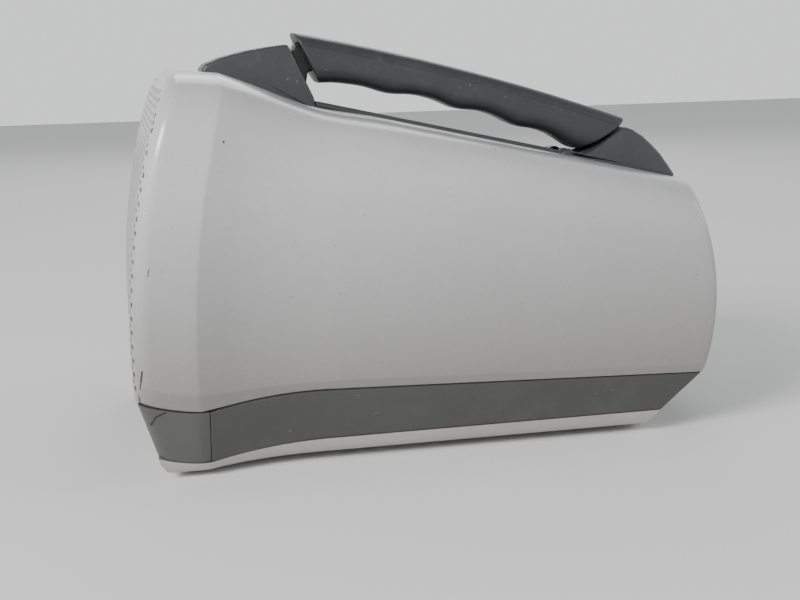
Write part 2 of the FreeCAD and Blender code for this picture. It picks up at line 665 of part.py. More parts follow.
for name, y_text, z_text, w_text, h_text in key_places:
    key = doc.addObject("PartDesign::Body", name)
    flange = sketch_on(key, name + "_flange", "YZ_Plane")
    rectangle(flange, "0", "0", w_text + " + 2 * Dims.key_flange", h_text + " + 2 * Dims.key_flange")
    pad(key, flange, "1.0", "-Dims.panel_thick - 1.3", name + "_base")
    cap = sketch_on(key, name + "_cap", "YZ_Plane")
    rectangle(cap, "0", "0", w_text, h_text)
    pad(key, cap, "Dims.panel_thick + 0.3 + Dims.key_proud", "-Dims.panel_thick - 0.3", name + "_top")
    doc.recompute()
    top = key.Tip
    face = max(range(len(top.Shape.Faces)), key=lambda n: top.Shape.Faces[n].CenterOfMass.x)
    edge_round = key.newObject("PartDesign::Fillet", name + "_round")
    edge_round.Base = (top, ["Face%d" % (face + 1)])
    edge_round.Radius = 0.8
    key.Tip = edge_round
    doc.recompute()
    offset = panel_sketch.evalExpression(y_text), panel_sketch.evalExpression(z_text)
    keep(key, name).Placement = turn_panel.multiply(
        FreeCAD.Placement(V(0, float(offset[0]), float(offset[1])), FreeCAD.Rotation()))

for name, y_text, z_text, r_text, l_text in knob_places:
    knob = doc.addObject("PartDesign::Body", name)
    profile = sketch_on(knob, name + "_profile", "XZ_Plane")
    polygon(profile, [("-8.2", "0"), ("-8.2", "Dims.shaft_radius"), ("0.6", "Dims.shaft_radius"),
                      ("0.6", r_text), ("2.4", r_text),
                      ("0.6 + " + l_text + " - 0.8", r_text + " - 0.7"),
                      ("0.6 + " + l_text, r_text + " - 1.5"), ("0.6 + " + l_text, "0")])
    turned = knob.newObject("PartDesign::Revolution", name + "_turned")
    turned.Profile = profile
    turned.ReferenceAxis = (profile, ["H_Axis"])
    turned.Angle = 360
    knob.Tip = turned
    doc.recompute()
    offset = panel_sketch.evalExpression(y_text), panel_sketch.evalExpression(z_text)
    keep(knob, name).Placement = turn_panel.multiply(
        FreeCAD.Placement(V(0, float(offset[0]), float(offset[1])), FreeCAD.Rotation()))

# Key board behind the panel, with a switch under each key and a bored control under each knob.
key_board = doc.addObject("PartDesign::Body", "key_board")
kb_sketch = sketch_on(key_board, "KeyBoardProfile", "YZ_Plane")
rectangle(kb_sketch, "0", "0", "Dims.panel_wide - 2", "Dims.panel_high - 2")
pad(key_board, kb_sketch, "Dims.board_thick", "-9 - Dims.board_thick", "KeyBoardPad")
keep(key_board, "key_board").Placement = turn_panel
switches = doc.addObject("PartDesign::Body", "key_switches")
sw_sketch = sketch_on(switches, "SwitchProfile", "YZ_Plane")
for name, y_text, z_text, w_text, h_text in key_places:
    rectangle(sw_sketch, y_text, z_text, "6", "6")
switch_pad = pad(switches, sw_sketch, "3.5", "-9", "SwitchPad")
switches.AllowCompound = True
keep(switches, "key_switches").Placement = turn_panel
pots = doc.addObject("PartDesign::Body", "control_pots")
pots.AllowCompound = True
pot_sketch = sketch_on(pots, "PotProfile", "YZ_Plane")
for name, y_text, z_text, r_text, l_text in knob_places:
    rectangle(pot_sketch, y_text, z_text, "9.5", "9.5")
    circle(pot_sketch, y_text, z_text, "Dims.shaft_radius + 0.06")
pad(pots, pot_sketch, "6.2", "-9", "PotPad")
keep(pots, "control_pots").Placement = turn_panel

# ---------------------------------------------------------------------------------------
# Probe socket in the right side, with its contact block and a turning latch.
socket_body = block("SocketBody", ("Dims.socket_long", "Dims.socket_out - Dims.socket_in", "Dims.socket_high"),
                    ("Dims.socket_x - Dims.socket_long / 2", "Dims.socket_in",
                     "Dims.socket_z - Dims.socket_high / 2"))
socket_room = block("SocketRoom", ("Dims.socket_hole_long", "40", "Dims.socket_hole_high"),
                    ("Dims.socket_x - Dims.socket_hole_long / 2", "Dims.socket_in + 3",
                     "Dims.socket_z - Dims.socket_hole_high / 2"))
keep(cut("probe_socket", socket_body, socket_room), "probe_socket")
contacts = doc.addObject("PartDesign::Body", "probe_contacts")
contact_sketch = sketch_on(contacts, "ContactBlock", "XZ_Plane")
rectangle(contact_sketch, "0", "0", "Dims.socket_hole_long - 0.4", "Dims.socket_hole_high - 0.4")
contact_pad = pad(contacts, contact_sketch, "6", "-6", "ContactPad")
pins = sketch_on(contacts, "ContactPins", "XZ_Plane")
for k in range(13):
    for j in range(3):
        circle(pins, "%g" % (3.6 * (k - 6)), "%g" % (4.5 * (j - 1)), "0.7")
pin_pad = pad(contacts, pins, "9", "-9", "PinPad")
place(keep(contacts, "probe_contacts"), V(val("socket_x"), val("socket_in") + 3.05, val("socket_z")))
latch_hub = rod("LatchHub", "7", "5", ("0", "0", "0"), "y")
latch_arm = block("LatchArm", ("26", "3.4", "8"), ("0", "1.6", "-4"))
latch_pin = rod("LatchShaft", "2.5", "17", ("0", "-16.5", "0"), "y")
latch = keep(join("probe_latch", [latch_hub, latch_arm, latch_pin]), "probe_latch")
place(latch, V(val("socket_x") - 4.0, 106.0, val("socket_z") - 25.5))
boss_rod = rod("LatchBossRod", "8", "14.4",
               ("Dims.socket_x - 4", "91.2", "Dims.socket_z - 25.5"), "y")
boss_bore = rod("LatchBossBore", "2.5 + Dims.run_fit", "30",
                ("Dims.socket_x - 4", "85", "Dims.socket_z - 25.5"), "y")
keep(cut("latch_boss", boss_rod, boss_bore), "latch_boss")

# ---------------------------------------------------------------------------------------
# Rear connection panel, recessed into the belt: mains inlet, rocker switch, fuse, video
# socket and bonding stud.
io_panel = doc.addObject("PartDesign::Body", "io_panel")
io_sketch = sketch_on(io_panel, "IoProfile", "YZ_Plane")
rectangle(io_sketch, "(Dims.io_left + Dims.io_right) / 2", "(Dims.io_low + Dims.io_high) / 2",
          "Dims.io_right - Dims.io_left", "Dims.io_high - Dims.io_low")
rectangle(io_sketch, "Dims.inlet_y", "Dims.io_mid", "27.4", "19.4")
rectangle(io_sketch, "Dims.switch_y", "Dims.io_mid", "19.4", "13.4")
circle(io_sketch, "Dims.fuse_y", "Dims.io_mid", "6.1")
circle(io_sketch, "Dims.video_y", "Dims.io_mid", "4.8")
circle(io_sketch, "Dims.stud_y", "Dims.io_mid", "3.1")
pad(io_panel, io_sketch, "Dims.io_thick", "Dims.io_x", "IoPad")
keep(io_panel, "io_panel")

inlet_flange = block("InletFlange", ("1.6", "31", "21.6"),
                     ("Dims.io_x - 1.6", "Dims.inlet_y - 15.5", "Dims.io_mid - 10.8"))
inlet_shell = block("InletShell", ("24", "27", "19"), ("Dims.io_x - 1", "Dims.inlet_y - 13.5", "Dims.io_mid - 9.5"))
inlet_room = block("InletRoom", ("20", "24", "16"), ("Dims.io_x - 3", "Dims.inlet_y - 12", "Dims.io_mid - 8"))
inlet_body = cut("InletHollow", join("InletSolid", [inlet_flange, inlet_shell]), inlet_room)
inlet_pins = []
for k, (dy, dz) in enumerate(((-7, -2), (0, 2), (7, -2))):
    inlet_pins.append(block("InletPin%d" % k, ("14", "2", "4"),
                            ("Dims.io_x + 4", "Dims.inlet_y + %g - 1" % dy, "Dims.io_mid + %g - 2" % dz)))
keep(join("mains_inlet", [inlet_body] + inlet_pins), "mains_inlet")

switch_flange = block("SwitchFlange", ("1.5", "22", "16"),
                      ("Dims.io_x - 1.5", "Dims.switch_y - 11", "Dims.io_mid - 8"))
switch_case = block("SwitchCase", ("18", "19", "13"), ("Dims.io_x - 1", "Dims.switch_y - 9.5", "Dims.io_mid - 6.5"))
switch_room = block("SwitchRoom", ("9.5", "17", "11"), ("Dims.io_x - 3", "Dims.switch_y - 8.5", "Dims.io_mid - 5.5"))
switch_hinge = rod("SwitchHingeBore", "1.2 + Dims.run_fit", "18.4",
                   ("Dims.io_x + 1.6", "Dims.switch_y", "Dims.io_mid - 9.2"), "z")
switch_solid = join("SwitchSolid", [switch_flange, switch_case])
keep(cut("switch_case", cut("SwitchHollow", switch_solid, switch_room), switch_hinge), "switch_case")

rocker = doc.addObject("PartDesign::Body", "power_rocker")
rocker_sketch = sketch_on(rocker, "RockerProfile", "XY_Plane")
polygon(rocker_sketch, [("-5.0", "-7.2"), ("-2.6", "0"), ("-3.4", "7.2"), ("0.9", "7.2"),
                        ("3.4", "0"), ("0.9", "-7.2")])
pad(rocker, rocker_sketch, "10.2", "-5.1", "RockerPad")
trunnion = sketch_on(rocker, "RockerTrunnion", "XY_Plane")
circle(trunnion, "0", "0", "1.2")
pad(rocker, trunnion, "12.6", "-6.3", "TrunnionPad")
place(keep(rocker, "power_rocker"), V(val("io_x") + 1.6, val("switch_y"), val("io_mid")))

fuse_cap = rod("FuseCap", "7.5", "5", ("Dims.io_x - 5", "Dims.fuse_y", "Dims.io_mid"), "x")
fuse_body = rod("FuseBody", "6", "26", ("Dims.io_x - 0.5", "Dims.fuse_y", "Dims.io_mid"), "x")
fuse_slot = block("FuseSlot", ("2", "10", "1.6"), ("Dims.io_x - 6", "Dims.fuse_y - 5", "Dims.io_mid - 0.8"))
keep(cut("fuse_holder", join("FuseSolid", [fuse_cap, fuse_body]), fuse_slot), "fuse_holder")

video_flange = rod("VideoFlange", "7", "1.5", ("Dims.io_x - 1.5", "Dims.video_y", "Dims.io_mid"), "x")
video_barrel = rod("VideoBarrel", "4.7", "24", ("Dims.io_x - 10", "Dims.video_y", "Dims.io_mid"), "x")
video_lugs = rod("VideoLugs", "1", "11.4", ("Dims.io_x - 7", "Dims.video_y", "Dims.io_mid - 5.7"), "z")
video_solid = join("VideoSolid", [video_flange, video_barrel, video_lugs])
video_room = rod("VideoRoom", "3.6", "9", ("Dims.io_x - 11", "Dims.video_y", "Dims.io_mid"), "x")
video_pin = rod("VideoPin", "0.7", "8", ("Dims.io_x - 7", "Dims.video_y", "Dims.io_mid"), "x")
keep(join("video_socket", [cut("VideoHollow", video_solid, video_room), video_pin]), "video_socket")

stud_nut = rod("StudNut", "5", "3", ("Dims.io_x - 3", "Dims.stud_y", "Dims.io_mid"), "x")
stud_rod = rod("StudRod", "3", "20", ("Dims.io_x - 9", "Dims.stud_y", "Dims.io_mid"), "x")
keep(join("bonding_stud", [stud_nut, stud_rod]), "bonding_stud")

# ---------------------------------------------------------------------------------------
# Fan behind the grille: square frame with a spider, and a seven-bladed rotor.
fan_block = block("FanBlock", ("Dims.fan_deep", "Dims.fan_size", "Dims.fan_size"),
                  ("Dims.fan_back", "Dims.fan_y - Dims.fan_size / 2", "Dims.fan_z - Dims.fan_size / 2"))
fan_hole = rod("FanHole", "Dims.fan_bore", "Dims.fan_deep + 4",
               ("Dims.fan_back - 2", "Dims.fan_y", "Dims.fan_z"), "x")
fan_arm_a = block("FanArmA", ("3", "2 * Dims.fan_bore + 2", "5"),
                  ("Dims.fan_back + Dims.fan_deep - 3", "Dims.fan_y - Dims.fan_bore - 1", "Dims.fan_z - 2.5"))
fan_arm_b = block("FanArmB", ("3", "5", "2 * Dims.fan_bore + 2"),
                  ("Dims.fan_back + Dims.fan_deep - 3", "Dims.fan_y - 2.5", "Dims.fan_z - Dims.fan_bore - 1"))
fan_stator = rod("FanStator", "14", "5",
                 ("Dims.fan_back + Dims.fan_deep - 5", "Dims.fan_y", "Dims.fan_z"), "x")
fan_bearing = rod("FanBearing", "1.5 + Dims.run_fit", "30",
                  ("Dims.fan_back", "Dims.fan_y", "Dims.fan_z"), "x")
fan_solid = join("FanSolid", [cut("FanRing", fan_block, fan_hole), fan_arm_a, fan_arm_b, fan_stator])
keep(cut("fan_frame", fan_solid, fan_bearing), "fan_frame")

hub = rod("FanHub", "Dims.fan_hub", "16", ("1.5", "0", "0"), "x")
axle = rod("FanAxle", "1.5", "22.5", ("1.5", "0", "0"), "x")
blades = []
for k in range(7):
    blade = doc.addObject("Part::Box", "FanBlade%d" % k)
    bind(blade, Length="14", Width="1.6", Height="Dims.blade_tip - 15")
    spin = FreeCAD.Rotation(V(1, 0, 0), 360.0 * k / 7)
    pitch = FreeCAD.Rotation(V(0, 0, 1), 28)
    blade.Placement = FreeCAD.Placement(spin.multVec(V(3.2, -3.6, 15)), spin.multiply(pitch))
    blades.append(blade)
rotor = keep(join("fan_rotor", [hub, axle] + blades), "fan_rotor")
place(rotor, V(val("fan_back"), val("fan_y"), val("fan_z")))

# ---------------------------------------------------------------------------------------
# Chassis, boards and power unit.
chassis = doc.addObject("PartDesign::Body", "chassis_plate")
chassis_sketch = sketch_on(chassis, "ChassisProfile", "XY_Plane")
rectangle(chassis_sketch, "-22", "0", "196", "170")
for sx in (-1, 1):
    for sy in (-1, 1):
        circle(chassis_sketch, "%d" % (70 * sx), "%d" % (60 * sy), "1.8")
pad(chassis, chassis_sketch, "Dims.plate_thick", "Dims.plate_low", "ChassisPad")
keep(chassis, "chassis_plate")

columns = doc.addObject("PartDesign::Body", "standoffs")
columns.AllowCompound = True
column_sketch = sketch_on(columns, "ColumnProfile", "XY_Plane")
for sx in (-1, 1):
    for sy in (-1, 1):
        circle(column_sketch, "%d" % (70 * sx), "%d" % (60 * sy), "4")
        circle(column_sketch, "%d" % (70 * sx), "%d" % (60 * sy), "1.8")
pad(columns, column_sketch, "Dims.plate_low - 5.9", "5.85", "ColumnPad")
keep(columns, "standoffs")

screws = []
for sx in (-1, 1):
    for sy in (-1, 1):
        head = rod("ScrewHead", "3.4", "2.2", ("%d" % (70 * sx), "%d" % (60 * sy), "0.5"), "z")
        shank = rod("ScrewShank", "1.5", "14.7", ("%d" % (70 * sx), "%d" % (60 * sy), "2.3"), "z")
        screws += [head, shank]
keep(join("base_screws", screws), "base_screws")

power_box = block("PowerBox", ("104", "62", "58"), ("-112", "16", "Dims.plate_low + Dims.plate_thick"))
power_room = block("PowerRoom", ("101", "59", "58"), ("-110.5", "17.5", "Dims.plate_low + Dims.plate_thick + 1.5"))
keep(cut("power_case", power_box, power_room), "power_case")
transformer = block("Core", ("38", "34", "30"), ("-100", "28", "Dims.plate_low + Dims.plate_thick + 1.6"))
winding = rod("Winding", "13.5", "42", ("-102", "45", "Dims.plate_low + Dims.plate_thick + 17"), "x")
capacitor = rod("Capacitor", "9", "32", ("-40", "58", "Dims.plate_low + Dims.plate_thick + 1.6"), "z")
keep(join("transformer", [transformer, winding]), "transformer")
keep(capacitor, "power_capacitor")

main_board = doc.addObject("PartDesign::Body", "main_board")
main_sketch = sketch_on(main_board, "MainBoardProfile", "XZ_Plane")
rectangle(main_sketch, "0", "0", "150", "92")
pad(main_board, main_sketch, "Dims.board_thick", "0", "MainBoardPad")
chips = sketch_on(main_board, "MainChips", "XZ_Plane")
for k in range(6):
    for j in range(3):
        rectangle(chips, "%g" % (-58 + 22 * k), "%g" % (-28 + 27 * j), "9", "18")
pad(main_board, chips, "4", "Dims.board_thick", "MainChipPad")
place(keep(main_board, "main_board"), V(-28.0, 88.0, 66.0))

scan_board = doc.addObject("PartDesign::Body", "scan_board")
scan_sketch = sketch_on(scan_board, "ScanBoardProfile", "XY_Plane")
rectangle(scan_sketch, "0", "0", "84", "92")
pad(scan_board, scan_sketch, "Dims.board_thick", "0", "ScanBoardPad")
scan_chips = sketch_on(scan_board, "ScanChips", "XY_Plane")
for k in range(3):
    for j in range(4):
        rectangle(scan_chips, "%g" % (-26 + 24 * k), "%g" % (-33 + 22 * j), "16", "9")
pad(scan_board, scan_chips, "4", "Dims.board_thick", "ScanChipPad")
place(keep(scan_board, "scan_board"), V(-68.0, -34.0, 30.0))

feet = doc.addObject("PartDesign::Body", "rubber_feet")
feet.AllowCompound = True
for spot, x_text, tall in (("FrontFeet", "Dims.foot_x", "Dims.tray_low - 0.02"),
                           ("RearFeet", "Dims.rear_foot_x", "Dims.band_low - 0.02")):
    feet_sketch = sketch_on(feet, spot, "XY_Plane")
    for sy in (-1, 1):
        circle(feet_sketch, x_text, "Dims.foot_y * %d" % sy, "Dims.foot_radius")
    pad(feet, feet_sketch, tall, "0", spot + "Pad")
keep(feet, "rubber_feet")

# ---------------------------------------------------------------------------------------
doc.recompute()
for obj in doc.Objects:
    if "Invalid" in obj.State or "Error" in obj.State:
        raise SystemExit("failed object: %s %s" % (obj.Label, obj.State))
for obj in parts:
    if obj.Shape.isNull() or not obj.Shape.isValid():
        raise SystemExit("bad shape: %s" % obj.Label)
os.makedirs("parts", exist_ok=True)
for obj in parts:
    obj.Shape.exportStep("parts/%s.step" % obj.Label)
print("%d sub-parts" % len(parts))
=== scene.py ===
# Portable ultrasound scanner: a wedge-shaped moulded case with a wide vented rear, a gray
# belt round its foot, a swinging carry handle, and the screen and controls at its low front.
import bmesh
import bpy
import math
import numpy as np
from mathutils import Matrix


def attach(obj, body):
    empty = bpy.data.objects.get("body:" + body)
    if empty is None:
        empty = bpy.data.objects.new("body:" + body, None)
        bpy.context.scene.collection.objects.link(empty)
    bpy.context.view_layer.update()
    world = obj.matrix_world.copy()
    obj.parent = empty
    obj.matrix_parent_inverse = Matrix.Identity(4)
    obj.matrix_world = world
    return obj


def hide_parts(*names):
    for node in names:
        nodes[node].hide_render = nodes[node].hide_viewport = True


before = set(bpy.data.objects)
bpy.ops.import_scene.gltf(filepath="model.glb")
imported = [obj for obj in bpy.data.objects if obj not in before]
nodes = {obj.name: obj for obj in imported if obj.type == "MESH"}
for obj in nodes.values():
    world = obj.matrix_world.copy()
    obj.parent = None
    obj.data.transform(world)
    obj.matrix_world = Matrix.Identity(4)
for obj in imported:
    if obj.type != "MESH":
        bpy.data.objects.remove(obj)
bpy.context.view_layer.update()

# --- Camera, floor and studio light -------------------------------------------------------
# The camera looks at the plain left side, a little from the rear and above, rolled slightly.
# A pale floor, a white room and large soft lamps stand in for the studio.
turn, rise, roll = math.radians(-11.0), math.radians(10.13), math.radians(-1.52)
back = np.array([math.sin(turn) * math.cos(rise), -math.cos(turn) * math.cos(rise), math.sin(rise)])
eye = np.array([-0.0092, 0.0, 0.0678]) + 0.8392 * back
flat_right = np.cross(-back, [0.0, 0.0, 1.0])
flat_right /= np.linalg.norm(flat_right)
flat_up = np.cross(flat_right, -back)
right = flat_right * math.cos(roll) + flat_up * math.sin(roll)
up = flat_up * math.cos(roll) - flat_right * math.sin(roll)
camera_data = bpy.data.cameras.new("camera")
camera_data.lens = 63.25
camera_data.sensor_width = 36.0
camera = bpy.data.objects.new("camera", camera_data)
camera.matrix_world = Matrix([[right[i], up[i], back[i], eye[i]] for i in range(3)] + [[0, 0, 0, 1]])
bpy.context.collection.objects.link(camera)
bpy.context.scene.camera = camera

bpy.ops.mesh.primitive_plane_add(size=8.0, location=(0.0, 0.0, 0.0))
floor = bpy.context.object
floor.name = "floor"
floor_paint = bpy.data.materials.new("floor_paint")
floor_paint.use_nodes = True
floor_shader = floor_paint.node_tree.nodes["Principled BSDF"]
floor_shader.inputs["Base Color"].default_value = (0.90, 0.90, 0.90, 1.0)
floor_shader.inputs["Roughness"].default_value = 0.8
floor.data.materials.append(floor_paint)

world = bpy.data.worlds.new("room")
world.use_nodes = True
world.node_tree.nodes["Background"].inputs["Color"].default_value = (0.97, 0.98, 1.0, 1.0)
sky = world.node_tree
bearing = sky.nodes.new("ShaderNodeTexCoord")
parts = sky.nodes.new("ShaderNodeSeparateXYZ")
fade = sky.nodes.new("ShaderNodeMapRange")
sky.links.new(bearing.outputs["Generated"], parts.inputs["Vector"])
sky.links.new(parts.outputs["Z"], fade.inputs["Value"])
for socket, value in (("From Min", 0.1), ("From Max", 0.8), ("To Min", 1.05), ("To Max", 0.30)):
    fade.inputs[socket].default_value = value
sky.links.new(fade.outputs["Result"], sky.nodes["Background"].inputs["Strength"])
bpy.context.scene.world = world


def soft_lamp(name, place, aim, size, power, tint):
    """Square area lamp at place, turned to shine at aim."""
    data = bpy.data.lights.new(name, "AREA")
    data.size = size
    data.energy = power
    data.color = tint
    lamp = bpy.data.objects.new(name, data)
    away = np.array(place, float) - np.array(aim, float)
    away /= np.linalg.norm(away)
    side = np.cross([0.0, 0.0, 1.0], away)
    side /= np.linalg.norm(side)
    top = np.cross(away, side)
    lamp.matrix_world = Matrix([[side[i], top[i], away[i], place[i]] for i in range(3)] + [[0, 0, 0, 1]])
    bpy.context.collection.objects.link(lamp)


soft_lamp("key_lamp", (-1.7, -1.5, 1.3), (0.0, 0.0, 0.1), 0.9, 62.0, (1.0, 0.99, 0.98))
soft_lamp("front_lamp", (1.9, -0.2, 1.0), (0.0, 0.0, 0.1), 1.0, 7.0, (0.98, 0.99, 1.0))
soft_lamp("far_lamp", (0.3, 1.9, 1.3), (0.0, 0.0, 0.1), 1.2, 8.0, (1.0, 1.0, 1.0))

# --- Upper housing ------------------------------------------------------------------------
# One thin moulding in glossy off-white plastic: a wide band at the rear, a crisp crease, a
# flare down to the waist and a long wedge to the front, with a turned-in lip over the belt.
REAR, FRONT, RIM = -168.5, 168.5, 1.6
CREASE, FLARE = -136.0, 70.0


def corner_reach(angle, power):
    """Distance to a superellipse |c|^n + |s|^n = 1 along the given angle."""
    return (np.abs(np.cos(angle)) ** power + np.abs(np.sin(angle)) ** power) ** (-1.0 / power)


def past_crease(x, length):
    """Distance ahead of the crease as a share of length, rounded very slightly at zero."""
    d = (x - CREASE) / length
    return np.clip(0.5 * (d + np.sqrt(d * d + 0.008 ** 2)), 0.0, 1.0)


def flare_at(x):
    """1 on the rear band and 0 at the waist, a concave power curve."""
    return (1.0 - past_crease(x, FLARE)) ** 2.4


def bow_at(x):
    """Share of the crease's arc that the cross-section at x follows."""
    ahead = np.clip((-20.0 - x) / 60.0, 0.0, 1.0)
    behind = np.clip((x + 188.0) / 30.0, 0.0, 1.0)
    return ahead * ahead * (3.0 - 2.0 * ahead) * behind / 960.0


def roof_at(x):
    """Straight sloping line of the roof."""
    return 188.4 - 0.232 * (x + 70.0)


def dip(x, back):
    """Share of the belt's dip at x: 1 at the split, dying away forwards on a concave power
    curve, and backwards on a parabola that ends at back."""
    ahead = np.clip(1.0 - (x + 131.0) / 65.0, 0.0, 1.0) ** 1.8
    behind = 1.0 - np.clip((-131.0 - x) / (-131.0 - back), 0.0, 1.0) ** 2
    return np.where(np.asarray(x) > -131.0, ahead, behind)


def belt_line(x):
    """Height of the belt's top edge, which falls to the front and dips at the crease."""
    return 38.9 - 0.033 * x - 6.7 * dip(x, -168.5)


def upper_section(x, inset):
    """Half width, top, bottom and corner power of the housing's cross-section at x."""
    flare = flare_at(x)
    along = np.clip((x + 66.0) / 216.0, 0.0, 1.0)
    half = 104.5 - 7.0 * along + 14.5 * flare
    x_top = x + bow_at(x) * 145.0 ** 2
    band = 206.8 - 0.07 * (x_top + 135.0)
    top = roof_at(x_top) + (band - roof_at(x_top)) * (1.0 - past_crease(x, 62.0)) ** 2
    low = -5.0 * flare
    return half - inset, top - inset, low + inset, 6.3


def upper_point(x, angle, inset):
    """Point of the housing's skin: a superellipse at x, bowed backwards with its height."""
    half, top, low, power = upper_section(x, inset)
    reach = corner_reach(angle, power)
    z = (top + low) / 2 + (top - low) / 2 * reach * np.sin(angle)
    y = half * reach * np.cos(angle)
    return x + bow_at(x) * (z - 60.0) ** 2, y, z


def upper_angle(x, z, inset):
    """Angle at which the cross-section at x passes the height z."""
    half, top, low, power = upper_section(x, inset)
    tall = np.clip((z - (top + low) / 2) / ((top - low) / 2), -0.999, 0.999)
    wide = (1.0 - np.abs(tall) ** power) ** (1.0 / power)
    return np.arctan2(tall, wide)


def rear_gap(x, y, z):
    """Distance ahead of the rear's arc, which has a radius of 400 about a crosswise axis."""
    return x - (REAR + 400.0 - np.sqrt(400.0 ** 2 - (z - 68.0) ** 2))


def nose_gap(x, y, z):
    """Distance behind the front's barrel: an arc of 135 in side view, 261 in plan."""
    chin = 126.0 + math.sqrt(135.0 ** 2 - 41.0 ** 2)
    arc = 126.0 + np.sqrt(np.maximum(135.0 ** 2 - (z - 77.0) ** 2, 1.0))
    radius = np.where(z < 36.0, chin - (36.0 - z) * 1.05, arc)
    return radius - np.hypot(x - (FRONT - 261.0), y)


def solve(gap, target, low, high, rising):
    """Halves the interval low..high, as whole arrays, until gap(x) meets target."""
    for _ in range(44):
        mid = (low + high) / 2
        more = (gap(mid) < target) == rising
        low = np.where(more, mid, low)
        high = np.where(more, high, mid)
    return (low + high) / 2


def edge_roll(radius, steps, wall, start=0.0):
    """Rolled edge as (distance from the edge, inset) pairs, from the inner lip outwards."""
    a = np.linspace(math.pi / 2, 0.0, steps + 1)
    pairs = [(start + 2.5, wall)]
    if wall > radius + 0.1:
        pairs.append((start, wall))
    pairs += [(start + radius * (1 - math.sin(t)), radius * (1 - math.cos(t))) for t in a]
    return np.array(pairs)


def lofted(at, count, rear_rim, front_rim, marks, steps, ends, spans):
    """Grid of rows at(x, inset) between two end surfaces. Each rim row lies where the skin,
    moved in by its inset, is the rim's distance from that end's surface. The rows between
    run straight from the rear end over the marks to the front end, steps for each stretch."""
    def rim_rows(rim, gap, low, high, rising):
        found = []
        for distance, inset in rim:
            x = solve(lambda t: gap(*at(t, inset)), distance,
                      np.full(count, low), np.full(count, high), rising)
            found.append((x, inset))
        return found

    behind = rim_rows(rear_rim, ends[0], *spans[0], True)
    ahead = rim_rows(front_rim[::-1], ends[1], *spans[1], False)
    stops = [behind[-1][0]] + [np.full(count, float(m)) for m in marks] + [ahead[0][0]]
    rows = [at(x, inset) for x, inset in behind]
    for first, last, n in zip(stops, stops[1:], steps):
        rows += [at(first * (1 - s) + last * s, 0.0) for s in np.arange(1, n + 1) / n]
    rows += [at(x, inset) for x, inset in ahead[1:]]
    return np.array(rows).transpose(0, 2, 1)


def over_roof(point, angle_at, foot_rim, columns, start, lip, crown=math.pi / 2):
    """Row function for lofted: from the left foot over the crown to the right foot. The foot
    rim's (height, inset) pairs are scaled by lip(x)."""
    main = np.linspace(0.0, 1.0, columns + 1)[1:]
    dz = np.concatenate([foot_rim[:, 0], np.full(columns, foot_rim[-1, 0])])
    inward = np.concatenate([foot_rim[:, 1], np.zeros(columns)])
    share = np.concatenate([np.zeros(len(foot_rim)), main])
    dz = np.concatenate([dz, dz[-2::-1]])
    inward = np.concatenate([inward, inward[-2::-1]])
    share = np.concatenate([share, share[-2::-1]])
    side = np.where(np.arange(len(share)) <= len(share) // 2, -1.0, 1.0)

    def at(x, inset):
        both = inset + inward * lip(x)
        foot = angle_at(x, start(x) + dz * lip(x), both)
        px, py, pz = point(x, foot + (crown - foot) * share, both)
        return px, side * py, pz

    return at, len(share)


def grid_faces(n, m, first=0, around=False):
    """Quads of an n by m grid of points, closed in the second direction if around."""
    i = np.arange(n - 1)[:, None] * m
    j = np.arange(m if around else m - 1)[None, :]
    k = (j + 1) % m
    quads = np.stack([i + j, i + k, i + m + k, i + m + j], axis=-1)
    return quads.reshape(-1, 4) + first


def outward(points, faces, middle):
    """Turns the faces over if most of them look towards the middle, one point for them all
    or one for each face."""
    a, b, c = points[faces[:, 0]], points[faces[:, 1]], points[faces[:, 2]]
    look = np.einsum("ij,ij->i", np.cross(b - a, c - a), (a + c) / 2 - np.array(middle))
    return faces[:, ::-1] if look.sum() < 0 else faces


def build(name, points, faces, material, body, slot, stands_for, sharp=40.0, weld=0.00002, marks=None):
    """Makes a piece from millimetre points and quads, welds its seams and hangs it on a body.
    marks, if given, is a value for each point, kept as a point attribute that darkens the finish: grime along
    the housing's crease, painted shade down the vent holes' walls."""
    mesh = bpy.data.meshes.new(name)
    mesh.vertices.add(len(points))
    mesh.vertices.foreach_set("co", (np.asarray(points, np.float64) / 1000.0).astype(np.float32).ravel())
    count = len(faces)
    mesh.loops.add(count * 4)
    mesh.loops.foreach_set("vertex_index", np.asarray(faces, np.int32).ravel())
    mesh.polygons.add(count)
    mesh.polygons.foreach_set("loop_start", np.arange(count, dtype=np.int32) * 4)
    if marks is not None:
        grime_and_shade = mesh.attributes.new("grime_and_shade", "FLOAT", "POINT")
        grime_and_shade.data.foreach_set("value", np.asarray(marks, np.float32))
    mesh.update(calc_edges=True)
    mesh.validate()
    work = bmesh.new()
    work.from_mesh(mesh)
    bmesh.ops.remove_doubles(work, verts=work.verts, dist=weld)
    bmesh.ops.delete(work, geom=[v for v in work.verts if not v.link_faces], context="VERTS")
    work.to_mesh(mesh)
    work.free()
    mesh.polygons.foreach_set("use_smooth", np.ones(len(mesh.polygons), dtype=bool))
    mesh.set_sharp_from_angle(angle=math.radians(sharp))
    piece = bpy.data.objects.new(name, mesh)
    bpy.context.collection.objects.link(piece)
    mesh.materials.append(material)
    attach(piece, body)
    if stands_for:
        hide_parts(*stands_for)
    return piece


